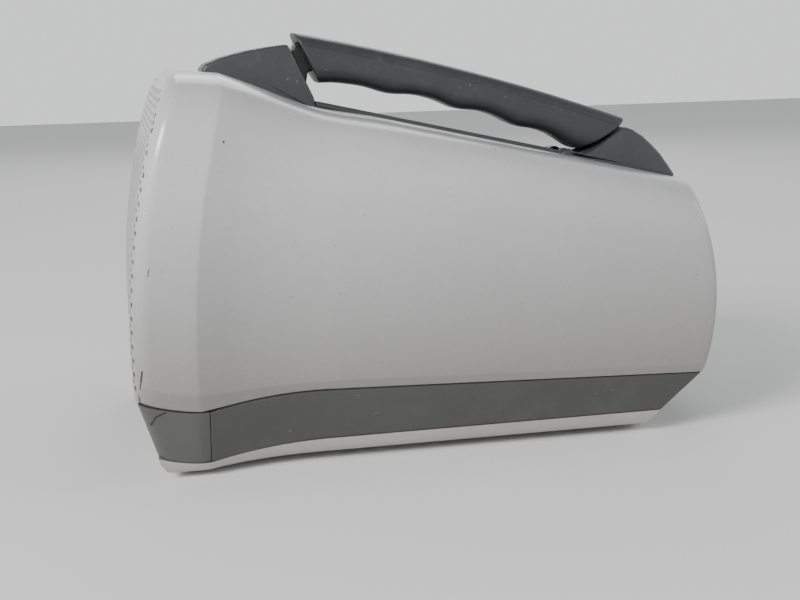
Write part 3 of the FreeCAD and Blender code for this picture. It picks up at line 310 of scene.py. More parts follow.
def moulded(name, colour, shade, rough, grain, depth, dirt=0.0, dirt_colour=(0.25, 0.2, 0.14),
            coat=0.0, rub=0.0, with_grime_and_shade=False, metal=0.0, tone_scale=9.0, painted_low_shade=None, marks=()):
    """Finish for a moulded or sheet piece. Broad noise shifts the colour between two tones,
    fine noise gives the grain's bump and the roughness, thresholded noise lays specks and a
    thin film of dirt, rub lightens high spots, and a point attribute darkens the finish: grime
    along the housing's crease, and painted shade down the vent holes' walls. A colour given for
    the foot is painted shade: the tone darkens towards it below 0.15 m, fully at 0.045 m. Each
    of marks is a thin dark line on the left side from (x, z) to (x, z), with its half width,
    all in metres."""
    paint = bpy.data.materials.new(name)
    paint.use_nodes = True
    tree = paint.node_tree
    shader = tree.nodes["Principled BSDF"]
    link = tree.links.new
    place = tree.nodes.new("ShaderNodeTexCoord")

    def noise(scale, detail, sharpness):
        node = tree.nodes.new("ShaderNodeTexNoise")
        node.inputs["Scale"].default_value = scale
        node.inputs["Detail"].default_value = detail
        node.inputs["Roughness"].default_value = sharpness
        link(place.outputs["Object"], node.inputs["Vector"])
        return node.outputs["Fac"]

    def ramp(source, low, high, first, last):
        node = tree.nodes.new("ShaderNodeMapRange")
        for socket, value in (("From Min", low), ("From Max", high), ("To Min", first), ("To Max", last)):
            node.inputs[socket].default_value = value
        link(source, node.inputs["Value"])
        return node.outputs["Result"]

    def blend(fac, a, b):
        node = tree.nodes.new("ShaderNodeMix")
        node.data_type = "RGBA"
        for socket, value in ((node.inputs[6], a), (node.inputs[7], b)):
            if isinstance(value, tuple):
                socket.default_value = value + (1.0,)
            else:
                link(value, socket)
        link(fac, node.inputs[0])
        return node.outputs[2]

    tone = blend(ramp(noise(tone_scale, 4.0, 0.55), 0.35, 0.65, 0.0, 1.0), tuple(colour), tuple(shade))
    gloss = ramp(noise(60.0, 5.0, 0.6), 0.3, 0.7, rough * 0.82, rough * 1.2)
    # Painted shade: below 0.15 m the tone darkens towards the foot colour, reaching it at 0.045 m.
    if painted_low_shade:
        parts = tree.nodes.new("ShaderNodeSeparateXYZ")
        link(place.outputs["Object"], parts.inputs["Vector"])
        tone = blend(ramp(parts.outputs["Z"], 0.15, 0.045, 0.0, 1.0), tone, tuple(painted_low_shade))
    if rub > 0.0:
        pale = tuple(min(1.0, 1.5 * c + 0.04) for c in colour)
        tone = blend(ramp(noise(130.0, 6.0, 0.72), 0.56, 0.74, 0.0, rub), tone, pale)
    if dirt > 0.0:
        specks = ramp(noise(330.0, 2.0, 0.5), 0.735 - 0.02 * dirt, 0.775, 0.0, 0.7)
        tone = blend(specks, tone, tuple(dirt_colour))
        film = ramp(noise(26.0, 6.0, 0.7), 0.52, 0.78, 0.0, 0.22 * dirt)
        tone = blend(film, tone, tuple(dirt_colour))
    # A point attribute darkens the tone towards near black: grime along the housing's crease, and painted
    # shade down the vent holes' walls.
    if with_grime_and_shade:
        grime_and_shade = tree.nodes.new("ShaderNodeAttribute")
        grime_and_shade.attribute_name = "grime_and_shade"
        broken = tree.nodes.new("ShaderNodeMath")
        broken.operation = "MULTIPLY"
        link(grime_and_shade.outputs["Fac"], broken.inputs[0])
        link(ramp(noise(500.0, 4.0, 0.65), 0.36, 0.56, 0.6, 1.0), broken.inputs[1])
        tone = blend(ramp(broken.outputs["Value"], 0.08, 0.35, 0.0, 1.0), tone, (0.03, 0.028, 0.026))
    for x0, z0, x1, z1, wide in marks:
        flat, start, share, spot, gap = (tree.nodes.new("ShaderNodeVectorMath") for _ in range(5))
        flat.operation, start.operation, share.operation = "MULTIPLY", "SUBTRACT", "DOT_PRODUCT"
        spot.operation, gap.operation = "SCALE", "DISTANCE"
        length = (x1 - x0) ** 2 + (z1 - z0) ** 2
        link(place.outputs["Object"], flat.inputs[0])
        flat.inputs[1].default_value = (1.0, 0.0, 1.0)
        link(flat.outputs[0], start.inputs[0])
        start.inputs[1].default_value = (x0, 0.0, z0)
        link(start.outputs[0], share.inputs[0])
        share.inputs[1].default_value = ((x1 - x0) / length, 0.0, (z1 - z0) / length)
        held = tree.nodes.new("ShaderNodeClamp")
        link(share.outputs["Value"], held.inputs["Value"])
        spot.inputs[0].default_value = (x1 - x0, 0.0, z1 - z0)
        link(held.outputs["Result"], spot.inputs["Scale"])
        link(start.outputs[0], gap.inputs[0])
        link(spot.outputs[0], gap.inputs[1])
        sides = tree.nodes.new("ShaderNodeSeparateXYZ")
        link(place.outputs["Object"], sides.inputs["Vector"])
        both = tree.nodes.new("ShaderNodeMath")
        both.operation = "MULTIPLY"
        link(ramp(gap.outputs["Value"], wide, wide * 0.5, 0.0, 1.0), both.inputs[0])
        link(ramp(sides.outputs["Y"], -0.08, -0.09, 0.0, 1.0), both.inputs[1])
        tone = blend(both.outputs["Value"], tone, (0.012, 0.010, 0.009))
    link(tone, shader.inputs["Base Color"])
    link(gloss, shader.inputs["Roughness"])
    if depth > 0.0:
        bump = tree.nodes.new("ShaderNodeBump")
        bump.inputs["Strength"].default_value = depth
        bump.inputs["Distance"].default_value = 0.0002
        link(noise(grain, 3.0, 0.55), bump.inputs["Height"])
        link(bump.outputs["Normal"], shader.inputs["Normal"])
    shader.inputs["Metallic"].default_value = metal
    shader.inputs["Coat Weight"].default_value = coat
    shader.inputs["Coat Roughness"].default_value = 0.12
    return paint


def scuffs(points):
    """A faint line of grime along the crease, a bell curve across it."""
    x, z = points[:, 0], points[:, 2]
    line = CREASE + bow_at(np.full_like(x, CREASE)) * (z - 60.0) ** 2
    return 0.09 * np.exp(-((x - line - 0.4) / 0.9) ** 2)


shell_scratches = ((-0.1634, 0.0610, -0.1642, 0.0560, 0.0006), (-0.1642, 0.0560, -0.1650, 0.0515, 0.0004),
                   (-0.1176, 0.1728, -0.1174, 0.1724, 0.0006), (-0.1572, 0.1120, -0.1580, 0.1085, 0.0003))
# The housing's finish is painted darker towards the bottom as painted shade; its point attribute lays a faint
# line of grime along the crease.
shell_white = moulded("shell_white", (0.53, 0.53, 0.54), (0.50, 0.50, 0.505), 0.26, 700.0, 0.05,
                      dirt=0.3, coat=0.5, with_grime_and_shade=True, painted_low_shade=(0.24, 0.235, 0.225),
                      marks=shell_scratches)
lip_rim = np.array([(2.5, 5.6), (0.1, 5.0), (0.1, 4.2), (0.4, 3.8), (1.0, 3.5), (8.0, 0.9), (8.8, 0.45),
                    (9.8, 0.12), (11.0, 0.0)])
housing_at, housing_count = over_roof(
    upper_point, upper_angle, lip_rim, 104, lambda x: belt_line(x) + 0.2,
    lambda x: 0.5 + 0.5 * flare_at(x))
density = 2
sweep = np.linspace(math.pi / 2, 0.0, 10)
rolled = [(RIM + 7.5 * (1 - math.sin(t)), 5.6 * (1 - math.cos(t))) for t in sweep]
rear_roll = np.array([(RIM + 3.0, 5.6)] + rolled)
housing_grid = lofted(housing_at, housing_count, rear_roll, edge_roll(2.4, 4, 3.0),
                      [CREASE - 1.0, CREASE - 0.3, CREASE + 0.3, CREASE + 1.0, -120.0, -66.0],
                      [9 * density, 1, 1, 1, 1, 9 * density, 20 * density, 50 * density],
                      (rear_gap, nose_gap), ((-185.0, -60.0), (20.0, 195.0)))
housing_points = housing_grid.reshape(-1, 3)
housing_faces = grid_faces(*housing_grid.shape[:2])
spot = housing_points[housing_faces].mean(axis=1)
socket_room = (np.abs(spot[:, 0] - 84.0) < 29.0) & (np.abs(spot[:, 2] - 80.0) < 14.0) & (spot[:, 1] > 0)
housing_faces = outward(housing_points, housing_faces[~socket_room], (0.0, 0.0, 60.0))
build("housing_shell", housing_points, housing_faces, shell_white, "case", "case_shell",
      ["upper_housing"], sharp=50.0, marks=scuffs(housing_points))

# --- Rear grille --------------------------------------------------------------------------
# White panel that closes the rear inside the rolled rim: slightly curved, standing a little
# proud with a sloping edge, and pierced by staggered rows of 2.9 mm vent holes.
PITCH, HOLE, SLOPE = 4.1, 1.45, 7.0
SIDE, MID, TALL = 113.3, 101.1, 100.4


def back_measure(y, z):
    """Superellipse measure of the panel's outline: below 1 inside it, 1 on it."""
    return ((np.abs(y) / SIDE) ** 6.3 + (np.abs(z - MID) / TALL) ** 6.3) ** (1 / 6.3)


def edge_room(y, z):
    """Distance inside the outline: (1 - measure) over the measure's slope."""
    total = np.maximum(back_measure(y, z), 1e-6)
    step_y = (np.abs(y) / SIDE / total) ** 5.3 / SIDE
    step_z = (np.abs(z - MID) / TALL / total) ** 5.3 / TALL
    return (1.0 - total) / np.hypot(step_y, step_z)


def panel_point(y, z, depth):
    """Point of the panel: on the rear's arc of radius 400, falling forwards by 2.0 mm on a
    parabola towards the outline, and sunk by depth. Points beyond the outline lie on it."""
    over = np.maximum(back_measure(y, z), 1.0)
    y, z = y / over, MID + (z - MID) / over
    z = np.maximum(z, belt_line(-166.0) + 0.3)
    fall = 2.0 * np.clip((SLOPE - edge_room(y, z)) / SLOPE, 0.0, 1.0) ** 2
    x = REAR + 400.0 - np.sqrt(400.0 ** 2 - (z - 68.0) ** 2) + fall + depth
    return np.stack([x, y, z], axis=-1)


cell_k, cell_j = np.meshgrid(np.arange(-34, 35), np.arange(-2, 62))
cell_y = ((cell_k + 0.5 * (cell_j % 2)) * PITCH).ravel()
cell_z = (44.0 + cell_j * PITCH * math.sqrt(3) / 2).ravel()
kept = (edge_room(cell_y, cell_z) > -PITCH * 0.55) & (cell_z > 40.0)
cell_y, cell_z = cell_y[kept], cell_z[kept]
spoke = np.arange(12) * math.pi / 6 + math.pi / 6
hex_radius = np.where(np.arange(12) % 2 == 0, PITCH / math.sqrt(3), PITCH / 2)
rim_y = cell_y[:, None] + hex_radius * np.cos(spoke)
rim_z = cell_z[:, None] + hex_radius * np.sin(spoke)
hole_y = cell_y[:, None] + HOLE * np.cos(spoke)
hole_z = cell_z[:, None] + HOLE * np.sin(spoke)
pierced = (edge_room(cell_y, cell_z) > 1.9) & (cell_z > 49.5)
rings = np.stack([panel_point(rim_y, rim_z, 0.0), panel_point(hole_y, hole_z, 0.0),
                  panel_point(hole_y, hole_z, 2.2)], axis=1)
middles = panel_point(cell_y[~pierced], cell_z[~pierced], 0.0)
ring, after = np.arange(12), (np.arange(12) + 1) % 12
first = np.arange(len(cell_y))[:, None, None] * 36
plate = first + np.stack([ring, after, 12 + after, 12 + ring], axis=-1)
walls = first[pierced] + np.stack([12 + ring, 12 + after, 24 + after, 24 + ring], axis=-1)
even = np.arange(6) * 2
fans = first[~pierced] + np.stack([12 + even, 13 + even, 12 + (even + 2) % 12, even * 0], axis=-1)
fans[:, :, 3] = len(cell_y) * 36 + np.arange(len(middles))[:, None]
panel = np.concatenate([rings.reshape(-1, 3), middles])
quads = np.concatenate([plate.reshape(-1, 4), walls.reshape(-1, 4), fans.reshape(-1, 4)])
a, b, c, d = (panel[quads[:, k]] for k in range(4))
facing = np.cross(c - a, d - b)
turned = facing[:, 0] > 0
is_wall = np.zeros(len(quads), bool)
is_wall[len(cell_y) * 12:len(cell_y) * 12 + pierced.sum() * 12] = True
hub = np.repeat(np.stack([cell_y[pierced], cell_z[pierced]], -1), 12, 0)
turned[is_wall] = np.einsum("ij,ij->i", facing[is_wall][:, 1:], hub - (a + c)[is_wall, 1:] / 2) < 0
quads[turned] = quads[turned][:, ::-1]
# Painted shade inside the vent holes: the ring where each hole's wall ends is painted near black, fading out
# towards the hole's mouth.
painted_hole_shade = np.zeros(len(panel))
painted_hole_shade[(first[pierced].ravel()[:, None] + 24 + ring).ravel()] = 1.0
build("vent_grille", panel, quads, shell_white, "case", "case_shell", ["rear_grille"],
      sharp=35.0, weld=0.00001, marks=painted_hole_shade)

# --- Belt ---------------------------------------------------------------------------------
# Gray satin moulding round the foot of the case, in three strips: one along each side, and
# one round the slanting rear with a window for the connections.
SPLIT, BELT_WALL, BELT_FOOT, BELT_GAP = -131.0, 3.0, 13.65, 0.15


def belt_foot(x):
    """Height of the belt's bottom edge, which dips at the crease as well."""
    return BELT_FOOT - 5.1 * dip(x, -159.0)


def belt_half(x, z):
    """Half width of the belt at x, which slants inwards towards the floor."""
    along = np.clip((x + 66.0) / 216.0, 0.0, 1.0)
    return 102.6 - 6.0 * along + 12.5 * flare_at(x) - 0.23 * (38.9 - z)


def strip_profile(radius, steps):
    """Belt's wall in section: (share of the height, offset from it, inset), from the inner
    lip over the rolled top edge, down the outside and round to the lower inner lip."""
    top = [(0.0, -dz, inset) for dz, inset in edge_roll(radius, 3, BELT_WALL)]
    middle = [(s, 0.0, 0.0) for s in np.linspace(0.0, 1.0, steps + 1)[1:-1]]
    foot = [(1.0, dz, inset) for dz, inset in edge_roll(radius, 3, BELT_WALL)[::-1]]
    return np.array(top + middle + foot)


belt_profile = strip_profile(0.9, 10)
belt_gray = moulded("belt_gray", (0.060, 0.061, 0.058), (0.052, 0.053, 0.050), 0.40, 900.0, 0.30,
                    dirt=0.5, dirt_colour=(0.24, 0.22, 0.18), rub=0.12)


def side_strip(side):
    """Row function: the belt's section at x, on the left (-1) or right (1) side."""
    share, offset, inward = belt_profile.T

    def at(x, inset):
        top = belt_line(x) - BELT_GAP
        z = top + (belt_foot(x) - top) * share + offset
        shift = bow_at(x) * (z - 60.0) ** 2
        return x + shift, side * (belt_half(x, z) - inset - inward), z

    return at


for name, side in (("belt_left", -1.0), ("belt_right", 1.0)):
    strip = lofted(side_strip(side), len(belt_profile), edge_roll(0.6, 2, 3.0), edge_roll(0.9, 3, 3.0),
                   [-120.0, -66.0], [12, 30, 60],
                   (lambda x, y, z: x - SPLIT - 0.3, nose_gap), ((-150.0, -100.0), (20.0, 180.0)))
    points = strip.reshape(-1, 3)
    faces = outward(points, grid_faces(*strip.shape[:2]), (0.0, 0.0, 28.0))
    build(name + "_strip", points, faces, belt_gray, "case", "belt_gray", [name])

TURN_IN = 6.0
side_run = np.linspace(0.0, 1.0, 13)
bend = np.linspace(0.0, math.pi / 2, 9)[1:]
window_wide, window_high = (-62.2, 92.2), (15.9, 38.5)
back_y = np.concatenate([np.linspace(-98.0, window_wide[0], 5), np.linspace(*window_wide, 19)[1:],
                         [95.5, 99.0]])


def rear_slant(z):
    """Place of the rear belt's face at height z: a straight slope in towards the floor."""
    return REAR + 0.6 + 0.3031 * (47.0 - z)


def rear_strip(z, inset):
    """Line of the rear belt at height z: along the left side to the rear, round a quarter
    circle, across the slanting back, and the same on the right. Along the sides its height
    keeps its share between the two dipping edges."""
    rear = rear_slant(z) + inset
    level = z
    x = SPLIT * (1 - side_run) + (rear + TURN_IN) * side_run
    share = (z - BELT_FOOT) / (rear_top - BELT_FOOT)
    z = belt_foot(x) + share * (belt_line(x) - BELT_GAP - belt_foot(x))
    y = belt_half(x, z) - inset
    cx, cy = rear + TURN_IN, y[-1] - TURN_IN
    x = np.concatenate([x, cx - TURN_IN * np.sin(bend)])
    y = np.concatenate([y, cy + TURN_IN * np.cos(bend)])
    z = np.concatenate([z, z[-1] + (level - z[-1]) * np.arange(1, 9) / 8])
    x = np.concatenate([x, np.full(len(back_y), rear), x[::-1]])
    y = np.concatenate([-y, back_y, y[::-1]])
    return np.stack([x, y, np.concatenate([z, np.full(len(back_y), level), z[::-1]])], axis=-1)


rear_top = float(belt_line(-167.0)) - BELT_GAP
heights = [(rear_top - dz, inset) for dz, inset in edge_roll(0.9, 3, BELT_WALL)]
heights += [(rear_top - 2.2, 0.0)] + [(z, 0.0) for z in np.linspace(window_high[1], window_high[0], 9)]
heights += [(BELT_FOOT + dz, inset) for dz, inset in edge_roll(0.9, 3, BELT_WALL)[::-1]]
rear_grid = np.array([rear_strip(z, inset) for z, inset in heights])
points = rear_grid.reshape(-1, 3)
faces = grid_faces(*rear_grid.shape[:2])
spot = points[faces].mean(axis=1)
in_window = (spot[:, 0] < -140.0) & (spot[:, 1] > window_wide[0]) & (spot[:, 1] < window_wide[1])
in_window &= (spot[:, 2] > window_high[0]) & (spot[:, 2] < window_high[1])
faces = outward(points, faces[~in_window], (-120.0, 0.0, 28.0))
along, across = np.linspace(*window_wide, 19), np.linspace(*window_high, 9)
loop_y = np.concatenate([along, np.full(9, window_wide[1]), along[::-1], np.full(9, window_wide[0])])
loop_z = np.concatenate([np.full(19, window_high[0]), across, np.full(19, window_high[1]), across[::-1]])
mouth = rear_slant(loop_z)
collar = np.stack([np.stack([mouth + (-149.0 - mouth) * s, loop_y, loop_z], -1) for s in (0.0, 0.5, 1.0)])
collar_faces = grid_faces(3, len(loop_y), len(points), True)
collar_points = collar.reshape(-1, 3)
inner_faces = outward(collar_points, collar_faces - len(points), (-155.0, 15.0, 27.0))[:, ::-1] + len(points)
belt_scratches = ((-0.1604, 0.0325, -0.1602, 0.0328, 0.0009), (-0.1604, 0.0325, -0.1578, 0.0365, 0.0005),
                  (-0.1578, 0.0365, -0.1532, 0.0385, 0.0006))
belt_rear_gray = moulded("belt_rear_gray", (0.080, 0.082, 0.078), (0.070, 0.072, 0.068), 0.40, 900.0, 0.30,
                         dirt=0.5, dirt_colour=(0.05, 0.045, 0.04), rub=0.1, marks=belt_scratches)
build("belt_rear_strip", np.concatenate([points, collar_points]), np.concatenate([faces, inner_faces]),
      belt_rear_gray, "case", "belt_gray", ["belt_rear"])

# --- Base tray and chin -------------------------------------------------------------------
# The tray closes the case from below in the same white plastic; the chin panel under the
# nose is gray like the belt. Both are plain mouldings pushed up between the belt's strips.
tray_white = moulded("tray_white", (0.40, 0.39, 0.37), (0.36, 0.35, 0.33), 0.38, 700.0, 0.08,
                     dirt=0.9, coat=0.15)


def finish_node(name, material):
    """Gives a CAD node its own finish."""
    nodes[name].data.materials.clear()
    nodes[name].data.materials.append(material)


finish_node("base_tray", tray_white)
finish_node("chin_front", belt_gray)

# --- Handle mounts and spine --------------------------------------------------------------
# Two dark gray mouldings screwed down on the roof, joined by a low strip. Each is a solid
# side profile with rolled edges and a pocket for the handle's strap.
MOUNT_HALF, SLOT_HALF = 20.0, 8.5
mount_gray = moulded("mount_gray", (0.050, 0.052, 0.054), (0.042, 0.044, 0.046), 0.36, 1100.0, 0.35,
                     dirt=0.35, dirt_colour=(0.20, 0.19, 0.17), rub=0.25)


def rounded_profile(corners, radius, steps=4, longest=3.0):
    """Closed side profile with each corner replaced by an arc of the given radius (less on a
    short side), and long sides divided. Returns points and outward normals."""
    corners = np.array(corners, float)
    if np.cross(corners, np.roll(corners, -1, 0)).sum() < 0:
        corners = corners[::-1]
    points, normals = [], []
    count = len(corners)
    for k in range(count):
        before, here, ahead = corners[k - 1], corners[k], corners[(k + 1) % count]
        u, w = here - before, ahead - here
        lu, lw = np.linalg.norm(u), np.linalg.norm(w)
        u, w = u / lu, w / lw
        bend_angle = math.atan2(u[0] * w[1] - u[1] * w[0], u @ w)
        reach = min(radius * abs(math.tan(bend_angle / 2)), 0.42 * lu, 0.42 * lw)
        n0, n1 = np.array([u[1], -u[0]]), np.array([w[1], -w[0]])
        for s in np.linspace(0.0, 1.0, steps + 1):
            flat = (here - u * reach) * (1 - s) ** 2 + here * 2 * s * (1 - s) + (here + w * reach) * s ** 2
            normal = n0 * (1 - s) + n1 * s
            points.append(flat)
            normals.append(normal / np.linalg.norm(normal))
    full_p, full_n = [], []
    for k in range(len(points)):
        p, q = points[k], points[(k + 1) % len(points)]
        parts = max(1, int(np.linalg.norm(q - p) / longest))
        for s in np.arange(parts) / parts:
            full_p.append(p * (1 - s) + q * s)
            n = normals[k] * (1 - s) + normals[(k + 1) % len(points)] * s
            full_n.append(n / np.linalg.norm(n))
    return np.array(full_p), np.array(full_n)


def slab_grid(profile, normals, half, edge, stations, centre):
    """Carries a side profile across from -half to half, with edges rolled by a quarter circle
    of radius edge, and closes both ends onto the centre."""
    a = np.linspace(0.0, math.pi / 2, 5)
    roll_y, roll_in = edge * (1 - np.sin(a)), edge * (1 - np.cos(a))
    middle = [(y, 0.0) for y in stations]
    left = [(-half + y, inset) for y, inset in zip(roll_y[::-1], roll_in[::-1])]
    right = [(half - y, inset) for y, inset in zip(roll_y, roll_in)]
    rows = []
    for y, inset in left + middle + right:
        flat = profile - normals * inset
        rows.append(np.stack([flat[:, 0], np.full(len(flat), y), flat[:, 1]], -1))
    centre = np.array(centre, float)
    first, last = rows[0].copy(), rows[-1].copy()
    first[:, 0], first[:, 2] = centre[0], centre[1]
    last[:, 0], last[:, 2] = centre[0], centre[1]
    return np.array([first] + rows + [last])


def slab_piece(name, corners, corner_radius, half, edge, centre, material, slot, stands_for, keep_out=None):
    """Slab with an optional opening: keep_out is a test on the faces' middles."""
    profile, normals = rounded_profile(corners, corner_radius)
    grid = slab_grid(profile, normals, half, edge, (-SLOT_HALF, 0.0, SLOT_HALF), centre)
    points = grid.reshape(-1, 3)
    faces = outward(points, grid_faces(grid.shape[0], grid.shape[1], 0, True), (centre[0], 0.0, centre[1]))
    if keep_out:
        faces = faces[~keep_out(points[faces].mean(axis=1))]
    return build(name, points, faces, material, "case", slot, stands_for)


rear_mount = [(-121.0, 196.0), (-121.0, 207.2), (-118.7, 209.8), (-110.2, 213.2), (-96.3, 216.5),
              (-84.6, 218.3), (-74.0, 219.5), (-72.4, 218.8), (-70.4, 214.5), (-59.1, 190.0), (-57.4, 181.0)]
slab_piece("mount_rear", rear_mount, 2.2, MOUNT_HALF, 2.0, (-88.0, 200.0), mount_gray, "handle_gray",
           ["handle_mount_rear"],
           lambda at: (np.abs(at[:, 1]) < SLOT_HALF) & (at[:, 0] > -70.4) & (at[:, 2] > 190.0)
           & (at[:, 2] < 214.4))
front_mount = [(84.8, 144.0), (84.8, 150.6), (85.6, 153.0), (88.0, 154.9), (91.0, 155.1), (94.4, 153.2),
               (99.9, 151.9), (104.2, 153.4), (108.1, 155.6),
               (113.2, 158.8), (118.0, 162.2), (124.8, 166.6), (129.8, 164.9), (136.2, 160.8),
               (141.7, 155.8), (147.3, 149.9), (151.9, 143.5), (156.0, 137.6), (154.6, 134.0)]
slab_piece("mount_front", front_mount, 2.0, MOUNT_HALF, 2.0, (126.0, 145.0), mount_gray, "handle_gray",
           ["handle_mount_front"],
           lambda at: (np.abs(at[:, 1]) < SLOT_HALF) & (at[:, 0] > 84.9) & (at[:, 0] < 124.8)
           & (at[:, 2] > 150.9) & (at[:, 2] < 166.2))


def pocket(name, mouth, floor_at, middle):
    """Inside of a slot: side walls and floor from the mouth's outline to a line farther in.
    mouth and floor_at are matching rows of (x, z), carried across the slot's width."""
    mouth, floor_at = np.array(mouth, float), np.array(floor_at, float)
    cross = np.array([-SLOT_HALF, -SLOT_HALF, SLOT_HALF, SLOT_HALF])
    rows = []
    for m, f in zip(mouth, floor_at):
        line = np.stack([m, f, f, m])
        rows.append(np.stack([line[:, 0], cross, line[:, 1]], -1))
    grid = np.array(rows)
    points = grid.reshape(-1, 3)
    faces = grid_faces(grid.shape[0], 4)
    faces = outward(points, faces, middle)[:, ::-1]
    return build(name, points, faces, mount_gray, "case", "handle_gray", [])


pocket("pocket_front", [(91.0, 151.7), (99.9, 151.9), (108.1, 155.6), (118.0, 162.2), (124.8, 166.0)],
       [(91.0, 148.0), (99.9, 146.5), (108.1, 146.0), (118.0, 146.0), (125.5, 146.0)], (110.0, 0.0, 158.0))
pocket("pocket_rear", [(-70.4, 214.5), (-67.0, 207.1), (-63.0, 198.5), (-59.1, 190.0)],
       [(-90.0, 214.5), (-90.0, 207.1), (-90.0, 198.5), (-90.0, 190.0)], (-70.0, 0.0, 202.0))
slab_piece("spine_strip", [(-58.0, roof_at(-58.0) - 1.0), (-58.0, roof_at(-58.0) + 2.1),
                           (86.0, roof_at(86.0) + 2.1), (86.0, roof_at(86.0) - 1.0)],
           0.9, 19.0, 0.8, (15.0, roof_at(15.0) + 0.5), mount_gray, "handle_gray", ["top_spine"])

# --- Handle strap and grip ----------------------------------------------------------------
# Black painted steel strap on a pin in the front mount, with its tongue in the rear mount.
# The grip is moulded round it in two halves: a core with finger grooves and a rounded cap.
strap_black = moulded("strap_black", (0.012, 0.012, 0.013), (0.018, 0.018, 0.018), 0.32, 500.0, 0.12, rub=0.1)
grip_gray = moulded("grip_gray", (0.040, 0.041, 0.043), (0.033, 0.034, 0.036), 0.36, 1100.0, 0.40,
                    dirt=0.4, dirt_colour=(0.22, 0.21, 0.19), rub=0.3)


def grip_top(x):
    """Upper line of the grip: a gentle parabola falling to the front."""
    s = (x + 69.0) / 197.0
    return 226.3 - 38.0 * s - 16.8 * s * s


def grip_low(x):
    """Lower line: a parabola less five bell-shaped ridges between the finger grooves."""
    u = x + 50.0
    ridges = sum(high * np.exp(-((x - at) / 10.0) ** 2)
                 for at, high in ((-60.0, 1.5), (-14.0, 2.0), (25.5, 2.4), (61.5, 2.3), (97.0, 3.2)))
    return 197.9 - 0.1236 * u - 0.00102 * u * u - ridges


def grip_point(x, angle, inset):
    """Superellipse section of the grip, power 3.4, 35 mm wide."""
    top, low = grip_top(x) - inset, grip_low(x) + inset
    reach = corner_reach(angle, 3.4)
    z = (top + low) / 2 + (top - low) / 2 * reach * np.sin(angle)
    return x, (17.5 - inset) * reach * np.cos(angle), z


def grip_angle(x, z, inset):
    """Angle at which the grip's section at x passes the height z."""
    top, low = grip_top(x) - inset, grip_low(x) + inset
    tall = np.clip((z - (top + low) / 2) / ((top - low) / 2), -0.999, 0.999)
    return np.arctan2(tall, (1.0 - np.abs(tall) ** 3.4) ** (1 / 3.4))


def grip_rear(x, y, z):
    """Distance ahead of the slanting rear end."""
    return (x + 69.0 + (z - 227.0) * 14.3 / 29.8) * 0.901


def grip_front(x, y, z):
    """Distance behind the convex front end, a radius of 84.6 about a crosswise axis."""
    return 84.6 - np.hypot(x - 72.0, z - 235.0)


def grip_half(name, crown, split, node):
    """One half of the grip: a skin from the parting line over the crown, with rolled edges and
    both ends closed by rows shrinking onto the end surfaces."""
    sign = 1.0 if crown > 0 else -1.0
    rim = np.array([(-1.5, 1.6), (0.0, 0.12), (0.05, 0.0)]) * [sign, 1.0]
    at, count = over_roof(grip_point, grip_angle, rim, 14, lambda x: grip_top(x) - split,
                          lambda x: 1.0, crown)
    grid = lofted(at, count, edge_roll(0.9, 4, 0.9), edge_roll(0.9, 4, 0.9), [0.0, 60.0],
                  [40, 30, 40], (grip_rear, grip_front), ((-95.0, 0.0), (60.0, 160.0)))
    grid = grid[1:-1]
    ends = []
    for row, gap, spans, rising in ((grid[0], grip_rear, (-95.0, 0.0), True),
                                    (grid[-1], grip_front, (60.0, 160.0), False)):
        middle = np.array([row[:, 0].mean(), 0.0, row[[0, -1], 2].mean()])
        shrunk = []
        for s in (0.75, 0.5, 0.25, 0.0):
            y, z = row[:, 1] * s, middle[2] + (row[:, 2] - middle[2]) * s
            x = solve(lambda t: gap(t, y, z), 0.0, np.full(count, spans[0]), np.full(count, spans[1]), rising)
            shrunk.append(np.stack([x, y, z], -1))
        ends.append(shrunk)
    grid = np.array(ends[0][::-1] + list(grid) + ends[1])
    points = grid.reshape(-1, 3)
    x = points[:, 0]
    middle = np.stack([x, x * 0.0, grip_top(x) - 8.0 + sign * 1.0], -1)
    faces = grid_faces(*grid.shape[:2])
    faces = outward(points, faces, middle[faces[:, 0]])
    build(name, points, faces, grip_gray, "handle", "grip_rubber", [node])


grip_half("grip_cap_skin", math.pi / 2, 6.5, "grip_cap")
grip_half("grip_core_skin", -math.pi / 2, 6.54, "grip_core")


def strap_point(x, angle):
    """Section of the strap at x: a nearly square superellipse 16 mm wide. Its upper and lower
    lines run straight from knot to knot, and follow the grip's middle line inside it."""
    knots = np.array([-86.0, -80.0, -70.3, -67.2, -62.5, -61.8, -60.4, -50.0, 94.0, 112.0,
                      118.0, 131.0, 133.0, 139.4])
    rise = {0: 212.4, 1: 213.0, 2: 213.0, 3: 220.1, 4: 220.1, 10: 164.6, 12: 157.6, 13: 152.8}
    fall = {0: 203.6, 2: 197.4, 3: 196.4, 5: 196.1, 6: 203.3, 9: 156.2, 11: 146.4, 13: 151.2}
    bar = (grip_top(knots) + grip_low(knots)) / 2
    inner = {7: bar[7], 8: bar[8]}
    lines = []
    for table, shift in ((rise, 3.0), (fall, -3.0)):
        known = {**table, **{k: v + shift for k, v in inner.items()}}
        order = sorted(known)
        lines.append(np.interp(x, knots[order], [known[k] for k in order]))
    inside = (x >= -50.0) & (x <= 94.0)
    centre = (grip_top(x) + grip_low(x)) / 2
    high, low = np.where(inside, centre + 3.0, lines[0]), np.where(inside, centre - 3.0, lines[1])
    reach = corner_reach(angle, 9.0)
    return x, 8.0 * reach * np.cos(angle), (high + low) / 2 + (high - low) / 2 * reach * np.sin(angle)


